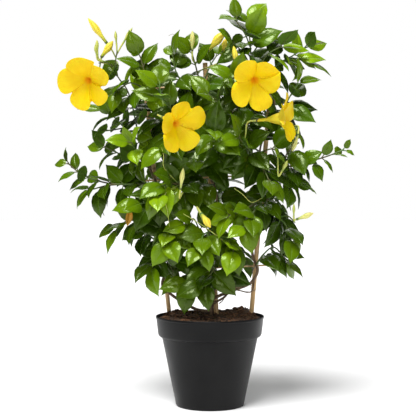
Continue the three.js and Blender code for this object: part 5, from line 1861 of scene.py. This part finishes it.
@dataclass
class Foliage:
    """All sprays: their shoots, stalks, green buds and leaves."""

    rules: LeafRules = field(default_factory=LeafRules)
    form: LeafForm = field(default_factory=LeafForm)
    seat: float = 0.6
    gap: float = 0.3
    apart: float = 13.0
    around: float = 13.0
    seek: Tuple[int, int] = (40, 4)
    seeds: Tuple[int, int, int] = (100003, 10007, 11)
    stem_step: float = 22.0
    sides: int = 8
    stalk_radius: float = 1.0
    stalk_swell: float = 0.5
    same_tip: float = 0.5
    patch_depth: float = 20.0
    ageing: Pair = (0.12, 0.30)
    youth: float = 0.22
    brightest: Pair = (0.55, 1.0)
    dimmed: Pair = (0.3, 0.35)
    shade_power: float = 1.4
    taken: List[Vector] = field(default_factory=list)
    extras: Dict[str, List[BMesh]] = field(default_factory=dict)

    @staticmethod
    def spray(name: str) -> Spray:
        """Returns the spray of a name."""
        return next(spray for spray in SPRAYS if spray.name == name)

    def start(self, spray: Spray, target: Vector) -> List[Vector]:
        """Finds where a spray leaves its woody stem, apart from the others and away from the cane.

        Args:
            spray: the spray.
            target: where its first shoot is bound.

        Returns:
            The first places of the shoot, which go round the cane if it is bound for the other side.
        """
        stem = STEMS[spray.wood]
        low, high = stem.climb
        reach, step = self.seek
        best: Optional[Tuple] = None
        for off in range(-reach, reach + 1, step):
            height = min(max(spray.height + off, low), high - step)
            point, radius = stem.at_height(height)
            if any((place - point).length < self.apart for place in self.taken):
                continue
            centre = stem.cane.at(point.z)
            outward = Vector((point.x - centre.x, point.y - centre.y, 0.0)).normalized()
            going = Vector((target.x - centre.x, target.y - centre.y, 0.0)).normalized()
            cost = abs(off) / reach + max(0.0, 0.4 - outward.dot(going)) * 2
            if best is None or cost < best[0]:
                best = (cost, point, radius, centre, outward, going)
        _, point, radius, centre, outward, going = best
        self.taken.append(point)
        away = (outward + going * 0.7).normalized()
        begin = point + away * (radius + self.gap + self.seat)
        places = [begin, begin + away * 6]
        if outward.dot(going) < 0.1:
            places.append(centre + square(going, outward) * self.around + UP * 3.0)
        return places

    def lay(self) -> None:
        """Lays every shoot's route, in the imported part's order."""
        for i, spray in enumerate(SPRAYS):
            for j, shoot in enumerate(spray.shoots):
                via = EYE.places(shoot.via)
                if j == 0:
                    via = self.start(spray, via[0]) + via
                else:
                    parent = spray.shoots[shoot.on]
                    via.insert(0, parent.route.at(shoot.at)[0])
                    shoot.thick = parent.width(shoot.at) * 0.95
                shoot.route = Route(via, self.stem_step)
                per_spray, per_shoot, first = self.seeds
                shoot.seed = i * per_spray + j * per_shoot + first
                if shoot.pairs > 1:
                    shoot.pairs = max(shoot.pairs, rounded(shoot.route.length / self.rules.pair_step))

    def stalk(self, spec: Union[Bud, Bloom], foot: Vector, away: Vector) -> None:
        """Lays the stalk of a bud or a bloom, and adds it to its spray's piece.

        Args:
            spec: the bud or bloom.
            foot: where the flower's foot is.
            away: which way the flower points.
        """
        shoot = self.spray(spec.spray).shoots[spec.shoot]
        begin = shoot.route.smooth(spec.at)
        reach = (shoot.route.at(spec.at)[0] - foot).length
        end = foot - away * (3 * self.gap)
        before = end - away * min(12.0, reach * 0.4)
        path = Route([begin, before, end + away * 1.5], 20.0).path(3.0)
        slim, swell = self.stalk_radius, self.stalk_swell
        tube = sweep(path, lambda share: slim * (1 + swell * share), self.sides, SprayMaterial.BUD)
        self.add(spec.spray, tube)

    def add(self, spray: str, part: BMesh) -> None:
        """Keeps a part that belongs to a spray's piece."""
        self.extras.setdefault(spray, []).append(part)

    def grown(self, shoot: Shoot, corners: KDTree) -> List[Leaf]:
        """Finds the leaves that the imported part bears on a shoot, by the tips of its blades.

        Args:
            shoot: the shoot.
            corners: the corners of the spray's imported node, in millimetres.

        Returns:
            The leaves.
        """
        leaves = []
        for pair, stand in enumerate(self.rules.stand(shoot)):
            for side in range(2):
                tries = [self.rules.leaf(shoot, stand, pair, side, n) for n in range(self.rules.tries)]
                far = [corners.find(leaf.place(1.0, 0.0, 0.0))[2] for leaf in tries]
                nearest = min(range(len(tries)), key=lambda n: far[n])
                if far[nearest] < self.same_tip:
                    leaves.append(tries[nearest])
        return leaves

    def vine(self, spray: Spray, vine: Vine) -> BMesh:
        """Returns a vine of a spray, that grows thinner towards its tip."""
        begin = spray.shoots[vine.shoot].route.smooth(vine.at)
        path = Route([begin, *EYE.places(vine.via)], 8.0).path(2.5)
        material = SprayMaterial.BARK if vine.dried else SprayMaterial.BUD
        return sweep(path, lambda share: vine.radius * (1 - 0.55 * share), 6, material)

    def withered(self) -> None:
        """Adds a dry orange leaf that hangs folded at the left."""
        spray = self.spray("left_low")
        root, base = spray.shoots[0].route.smooth(0.42), EYE.place((-126.0, 304.0, -16.0))
        heading = Vector((-0.12, -0.10, -1.0)).normalized()
        face = square(Vector((0.35, -1.0, 0.0)), heading)
        sizes = {"length": 25.0, "width": 13.0, "curl": 0.5, "fold": 0.5}
        leaf = Leaf(root, base, heading, face, heading.cross(face), **sizes, share=0.0, seed=9)
        self.add(spray.name, self.form.blade(leaf, (0.0, 0.5, DRY)))
        self.add(spray.name, self.form.petiole(leaf, root))

    def tone(self, shoot: Shoot, leaf: Leaf) -> Triple:
        """Chooses how young, light and withered a leaf is.

        Args:
            shoot: its shoot.
            leaf: the leaf.

        Returns:
            The three tones.
        """
        draws = Draws(leaf.seed + 5)
        x, z, depth = EYE.seen(leaf.place(0.5, 0.0, 0.0))
        bright, dark = (
            depth < self.patch_depth and any(patch.holds(x, z) for patch in patches)
            for patches in (BRIGHT, DARK)
        )
        youth = self.ageing[0] * draws.next() + self.ageing[1] * leaf.share**3
        if shoot.young:
            youth += self.youth * draws.next()
        if bright:
            youth = draws.between(*self.brightest)
        shade = draws.next() ** self.shade_power
        if dark and not bright:
            youth, shade = self.dimmed[0] * youth, self.dimmed[1] * shade
        return min(1.0, youth), shade, FRESH

    def build(self, finishes: Finishes) -> None:
        """Makes one piece for each spray."""
        materials = (finishes.leaf, finishes.stem, finishes.buds[BudTint.GREEN], finishes.bark)
        self.withered()
        for spray in SPRAYS:
            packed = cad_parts[spray.node].data.vertices
            corners = KDTree(len(packed))
            for i, vert in enumerate(packed):
                corners.insert(vert.co / MM, i)
            corners.balance()
            parts = self.extras.get(spray.name, [])
            parts += [self.vine(spray, vine) for vine in VINES if vine.spray == spray.name]
            borne = 0
            for shoot in spray.shoots:
                parts.append(sweep(shoot.route.path(5.0), shoot.width, self.sides, SprayMaterial.STEM))
                for leaf in self.grown(shoot, corners):
                    borne += 1
                    parts.append(self.form.blade(leaf, self.tone(shoot, leaf)))
                    parts.append(self.form.petiole(leaf, leaf.root))
            LOG.info("%s bears %d leaves", spray.node, borne)
            Making(f"leafy_{spray.name}", materials, "leaf", (spray.node,), crease=50.0).finish(joined(parts))


# Flowers


class FlowerMaterial(IntEnum):
    """The places of a flower's materials in its piece."""

    PETAL = 0
    CALYX = 1


def pointing(foot: Vector, axis: Vector, turn: float = 0.0) -> Matrix:
    """Returns the matrix that takes +Z at the origin to an axis at a place, after a turn about it."""
    lean = UP.rotation_difference(axis).to_matrix().to_4x4()
    return Matrix.Translation(foot) @ lean @ Matrix.Rotation(turn, 4, "Z")


@dataclass
class BudForm:
    """A furled bud: a spindle with five soft folds that twist towards its tip, in a small calyx."""

    folds: int = 5
    depth: float = 0.075
    twist: float = 1.5
    tooth: float = 2.6
    cup_sides: int = 20
    cup_wall: float = 0.35
    outline: Tuple[Pair, ...] = (
        (0.0, 0.0), (0.38, 0.005), (0.46, 0.10), (0.50, 0.22), (0.66, 0.36), (0.92, 0.50),
        (0.98, 0.60), (0.86, 0.72), (0.62, 0.84), (0.30, 0.94), (0.12, 0.985), (0.0, 1.0),
    )

    def spindle(self, girth: float, length: float, material: int, steps: int = 30) -> BMesh:
        """Spins a bud and twists its folds.

        Args:
            girth: its thickest radius.
            length: its length.
            material: the index of its material.
            steps: the steps of its full turn.

        Returns:
            The bud, with its foot at the origin and its tip up.
        """
        bud = spun([(r * girth, z * length) for r, z in self.outline], steps, material)
        blade = bud.verts.layers.float_vector[BLADE]
        for vert in bud.verts:
            share = vert.co.z / length
            turn = math.atan2(vert.co.y, vert.co.x)
            wave = math.cos(self.folds * (turn - self.twist * share))
            crest = abs(wave) ** 0.6 * (1 if wave > 0 else -1)
            reach = 1 + self.depth * crest * smoothstep(0.2, 0.5, share)
            vert.co.x *= reach
            vert.co.y *= reach
            # the crest goes below 0 in the grooves, where the bud finishes lay painted shade
            vert[blade] = Vector((share, crest * smoothstep(0.25, 0.5, share), 1.0))
        return bud

    def calyx(self, radius: float) -> BMesh:
        """Returns a small green cup with five pointed teeth, round the foot of a flower."""
        outline = [(0.0, -0.6), (radius * 0.75, -0.4), (radius, 1.2), (radius * 1.02, 3.2)]
        cup = spun(outline, self.cup_sides, FlowerMaterial.CALYX)
        for vert in cup.verts:
            if vert.co.z > 3.0:
                turn = math.atan2(vert.co.y, vert.co.x)
                vert.co.z += self.tooth * max(0.0, math.cos(self.folds / 2 * turn)) ** 2 - 1.2
        thicken(cup, -self.cup_wall)
        return cup

    def build(self, bud: Bud, finishes: Finishes, foliage: Foliage) -> None:
        """Makes a yellow bud with its calyx, and lays its stalk."""
        foot, axis, length = bud.stand()
        body = self.spindle(bud.girth, length, FlowerMaterial.PETAL)
        whole = joined([body, self.calyx(bud.girth * 0.38 + 0.5)])
        moved(whole, pointing(foot, axis, bud.girth))
        materials = (finishes.buds[bud.tint], finishes.stem)
        Making(f"furled_{bud.name}", materials, "bud", (f"bud_{bud.name}",), crease=60.0).finish(whole)
        foliage.stalk(bud, foot, axis)

    def build_green(self, bud: Bud, foliage: Foliage) -> None:
        """Adds a small green bud and its stalk to its spray."""
        foot, axis, length = bud.stand()
        body = self.spindle(bud.girth, length, SprayMaterial.BUD, steps=15)
        foliage.add(bud.spray, moved(body, pointing(foot, axis)))
        foliage.stalk(bud, foot + axis * 2.5, axis)


@dataclass
class BloomForm:
    """An open flower: a slender tube that widens to a funnel, and a limb of five broad lobes."""

    tube_length: float = 42.0
    tube_radius: float = 2.6
    tube_share: float = 0.4
    throat_radius: float = 10.5
    lobe_length: float = 37.0
    splay: float = 0.85
    curl: float = 0.45
    lap: float = 2.4
    deep: float = 13.0
    throat_rows: int = 5
    limb_rows: int = 10
    columns: Tuple[float, ...] = (-0.985, -0.9, -0.74, -0.5, -0.18, 0.18, 0.5, 0.74, 0.9, 0.985)
    throat_share: float = 0.28
    thick: float = 0.55
    ruffle: float = 1.5
    roll: float = 1.6
    ripple: float = 0.7
    pinwheel: float = 0.10
    lobes: int = 5

    def meridian(self, u: float, reach: float) -> Tuple[Vector, Vector]:
        """Finds a point of the limb's section, and which way the limb faces there.

        Args:
            u: how far out on the limb, from 0 at the throat's edge; below 0 lies the throat.
            reach: the length of the lobe, in millimetres.

        Returns:
            The point and the facing, each as radius and height in x and z.
        """
        edge = Vector((self.throat_radius - 0.8, 0.0, -1.5))
        slope = self.splay + self.curl * max(0.0, u)
        front = Vector((-math.cos(slope), 0.0, math.sin(slope)))
        if u < 0:
            inner = 1 + u
            return Vector((edge.x * inner**1.15, 0.0, edge.z - self.deep * (1 - inner**0.9))), front
        out = Vector((math.sin(self.splay), 0.0, math.cos(self.splay)))
        back = Vector((math.cos(self.splay), 0.0, -math.sin(self.splay)))
        forward = math.sin(self.curl * u) / self.curl
        behind = (1 - math.cos(self.curl * u)) / self.curl
        return edge + (out * forward + back * behind) * reach, front

    def limb(self, lobes: Sequence[Lobe], draws: Draws) -> BMesh:
        """Bends a grid into the throat and the five lobes, each with one edge over its neighbour.

        Args:
            lobes: the lobes, anticlockwise as the flower looks from the front.
            draws: gives each lobe small differences.

        Returns:
            The closed limb, with its throat at the origin and facing up.
        """
        bm = blank()
        blade = bm.verts.layers.float_vector[BLADE]
        middles = [math.radians(lobe.turn) for lobe in lobes]
        gaps = [(b - a) % math.tau for a, b in zip(middles, middles[1:] + middles[:1])]
        shapes = [
            (draws.between(-0.02, 0.14), draws.next() * math.tau, draws.between(0.8, 1.5)) for _ in lobes
        ]
        rows, count = self.throat_rows + self.limb_rows, len(self.columns) * len(middles)
        bmesh.ops.create_grid(bm, x_segments=rows, y_segments=count, size=1.0)
        for vert in bm.verts:
            row = rounded((vert.co.x + 1) / 2 * rows)
            column = rounded((vert.co.y + 1) / 2 * count) % count
            which, x = column // len(self.columns), self.columns[column % len(self.columns)]
            lobe, (lean, phase, lift) = lobes[which], shapes[which]
            side = which if x > 0 else which - 1
            turn = middles[which] + x * gaps[side] / 2
            rim = lobes[side].notch / lobe.reach
            edge = rim + (1 - rim) * math.sqrt(1 - abs(x) ** lobe.blunt) * (1 + lean * x)
            rows_out = row - self.throat_rows
            w = rows_out / (self.throat_rows if rows_out < 0 else self.limb_rows)
            u = w * (edge if w > 0 else 1.0)
            point, front = self.meridian(u, self.lobe_length * lobe.reach)
            out = max(0.0, u)
            ruffle = lift * math.sin(4.2 * x + 3.4 * u + phase) * out**1.2
            rolled = self.ripple * math.sin(9.0 * x + phase) * smoothstep(0.8, 1.0, w)
            rolled -= self.roll * smoothstep(0.72, 1.0, w)
            lapped = self.lap * x * smoothstep(-0.25, 0.45, u)
            point += front * (self.ruffle * ruffle + rolled + lapped)
            turn += self.pinwheel * out
            vert.co = Vector((math.cos(turn) * point.x, math.sin(turn) * point.x, point.z))
            beyond = 1 - self.throat_share if u > 0 else self.throat_share
            vert[blade] = Vector((self.throat_share + u * beyond, x, 1.0))
        bmesh.ops.remove_doubles(bm, verts=bm.verts, dist=WELD)
        bm.normal_update()
        if sum((face.normal for face in bm.faces), Vector()).dot(UP) < 0:
            bmesh.ops.reverse_faces(bm, faces=bm.faces)
        thicken(bm, self.thick)
        return bm

    def tube(self, size: float) -> BMesh:
        """Returns the tube and funnel behind the petals."""
        length, slim, wide = self.tube_length, self.tube_radius, self.throat_radius
        outline = [
            (0.0, -length),
            (slim * 0.8, -length),
            (slim, -length * 0.94),
            (slim * 0.94, -length * (1 - self.tube_share)),
            (slim * 1.45, -length * 0.52),
            (wide * 0.55, -length * 0.40),
            (wide * 0.76, -length * 0.26),
            (wide * 0.93, -length * 0.10),
            (wide * 0.985, -length * 0.03),
            (wide * 0.93, -length * 0.03),
            (wide * 0.70, -length * 0.24),
            (wide * 0.42, -length * 0.42),
            (0.0, -length * 0.55),
        ]
        tube = spun([(r * size, z * size) for r, z in outline], 30)
        blade = tube.verts.layers.float_vector[BLADE]
        for vert in tube.verts:
            turn = math.atan2(vert.co.y, vert.co.x)
            rib = 1 + 0.05 * math.cos(self.lobes * turn) * smoothstep(-30.0, -10.0, vert.co.z)
            vert.co.x *= rib
            vert.co.y *= rib
            inside = 1.0 if vert[blade].x > 0.74 else 0.0
            vert[blade] = Vector((0.1, math.cos(self.lobes * turn), inside))
        return tube

    def build(self, bloom: Bloom, finishes: Finishes, foliage: Foliage) -> None:
        """Makes a flower, and lays its stalk."""
        throat, facing = EYE.place(bloom.throat), Vector(bloom.facing).normalized()
        foot = throat - facing * self.tube_length * bloom.size
        limb = self.limb(bloom.lobes, Draws(rounded(bloom.throat[0]) * 31 + 6007))
        bmesh.ops.scale(limb, vec=(bloom.size,) * 3, verts=limb.verts)
        cup = BudForm().calyx(self.tube_radius * bloom.size + 0.4)
        bmesh.ops.translate(cup, vec=(0.0, 0.0, -self.tube_length * bloom.size), verts=cup.verts)
        whole = moved(joined([limb, self.tube(bloom.size), cup]), pointing(throat, facing))
        materials = (finishes.petal, finishes.stem)
        nodes = (f"bloom_{bloom.name}",)
        Making(f"flower_{bloom.name}", materials, "petal", nodes, crease=75.0, subdivisions=1).finish(whole)
        foliage.stalk(bloom, foot, facing)


# Studio


@dataclass(frozen=True)
class Light:
    """A broad, far and soft light: the direction that it is in, its width in degrees, and its power."""

    name: str
    way: Place
    spread: float
    power: float

    def place(self) -> None:
        """Puts the light into the scene."""
        data = bpy.data.lights.new(self.name, "SUN")
        data.angle = math.radians(self.spread)
        data.energy = self.power
        shown(self.name, data).rotation_euler = Vector(self.way).to_track_quat("Z", "Y").to_euler()


LIGHTS = (
    Light("key", (-0.24, -0.50, 1.0), 32.0, 4.3),
    Light("fill", (0.12, -1.0, 0.42), 30.0, 0.7),
    Light("back", (0.1, 0.8, 1.0), 45.0, 0.9),
)


@dataclass
class Studio:
    """Plain pale floor, soft lights, and the level camera."""

    eye: Eye = EYE
    aside: float = -3.0
    lens: float = 83.2
    sensor: float = 36.0
    sight: float = 50.0
    floor_size: float = 40.0
    pale: Colour = (0.86, 0.86, 0.86)
    backdrop: Colour = (1.0, 1.0, 1.0)
    ambient: float = 0.06

    def floor(self) -> None:
        """Lays the floor."""
        bm = bmesh.new()
        bmesh.ops.create_grid(bm, x_segments=1, y_segments=1, size=self.floor_size / 2)
        mesh = mesh_of("floor", bm)
        coat = Coat("floor", Base_Color=self.pale, Roughness=0.9, Specular_IOR_Level=0.1)
        mesh.materials.append(coat.material)
        shown("floor", mesh)

    def sky(self) -> None:
        """Lights everything a little from all round, before a backdrop that only the camera sees."""
        world = bpy.data.worlds.new("studio")
        world.use_nodes = True
        weave = Weave(world.node_tree)
        sky = world.node_tree.nodes["Background"]
        seen = weave.node("LightPath").outputs["Is Camera Ray"]
        weave.feed(sky.inputs["Color"], self.backdrop)
        weave.feed(sky.inputs["Strength"], weave.step(seen, 0.0, 1.0, (self.ambient, 1.0)))
        bpy.context.scene.world = world

    def camera(self) -> None:
        """Places the level camera at the eye, a little aside."""
        data = bpy.data.cameras.new("camera")
        data.lens, data.sensor_width, data.clip_end = self.lens, self.sensor, self.sight
        camera = shown("camera", data)
        camera.location = (self.aside * MM, -self.eye.distance * MM, self.eye.height * MM)
        camera.rotation_euler = (math.radians(90.0), 0.0, 0.0)
        bpy.context.scene.camera = camera
        bpy.context.scene.view_settings.view_transform = "Standard"

    def build(self) -> None:
        """Makes the floor, the lights, the sky and the camera."""
        self.floor()
        for light in LIGHTS:
            light.place()
        self.sky()
        self.camera()


def main() -> None:
    """Builds the plant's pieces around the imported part, and the studio round it."""
    logging.basicConfig(level=logging.INFO, format="%(name)s: %(message)s", stream=sys.stdout)
    finishes, pot = Finishes(), Pot()
    pot.build(finishes)
    Soil(pot).build(finishes)
    CaneFan().build(finishes)
    Wood().build(finishes)
    foliage = Foliage()
    foliage.lay()
    for bud in BUDS:
        BudForm().build(bud, finishes, foliage)
    for bud in GREEN_BUDS:
        BudForm().build_green(bud, foliage)
    for bloom in BLOOMS:
        BloomForm().build(bloom, finishes, foliage)
    foliage.build(finishes)
    Studio().build()


if __name__ == "__main__":
    main()
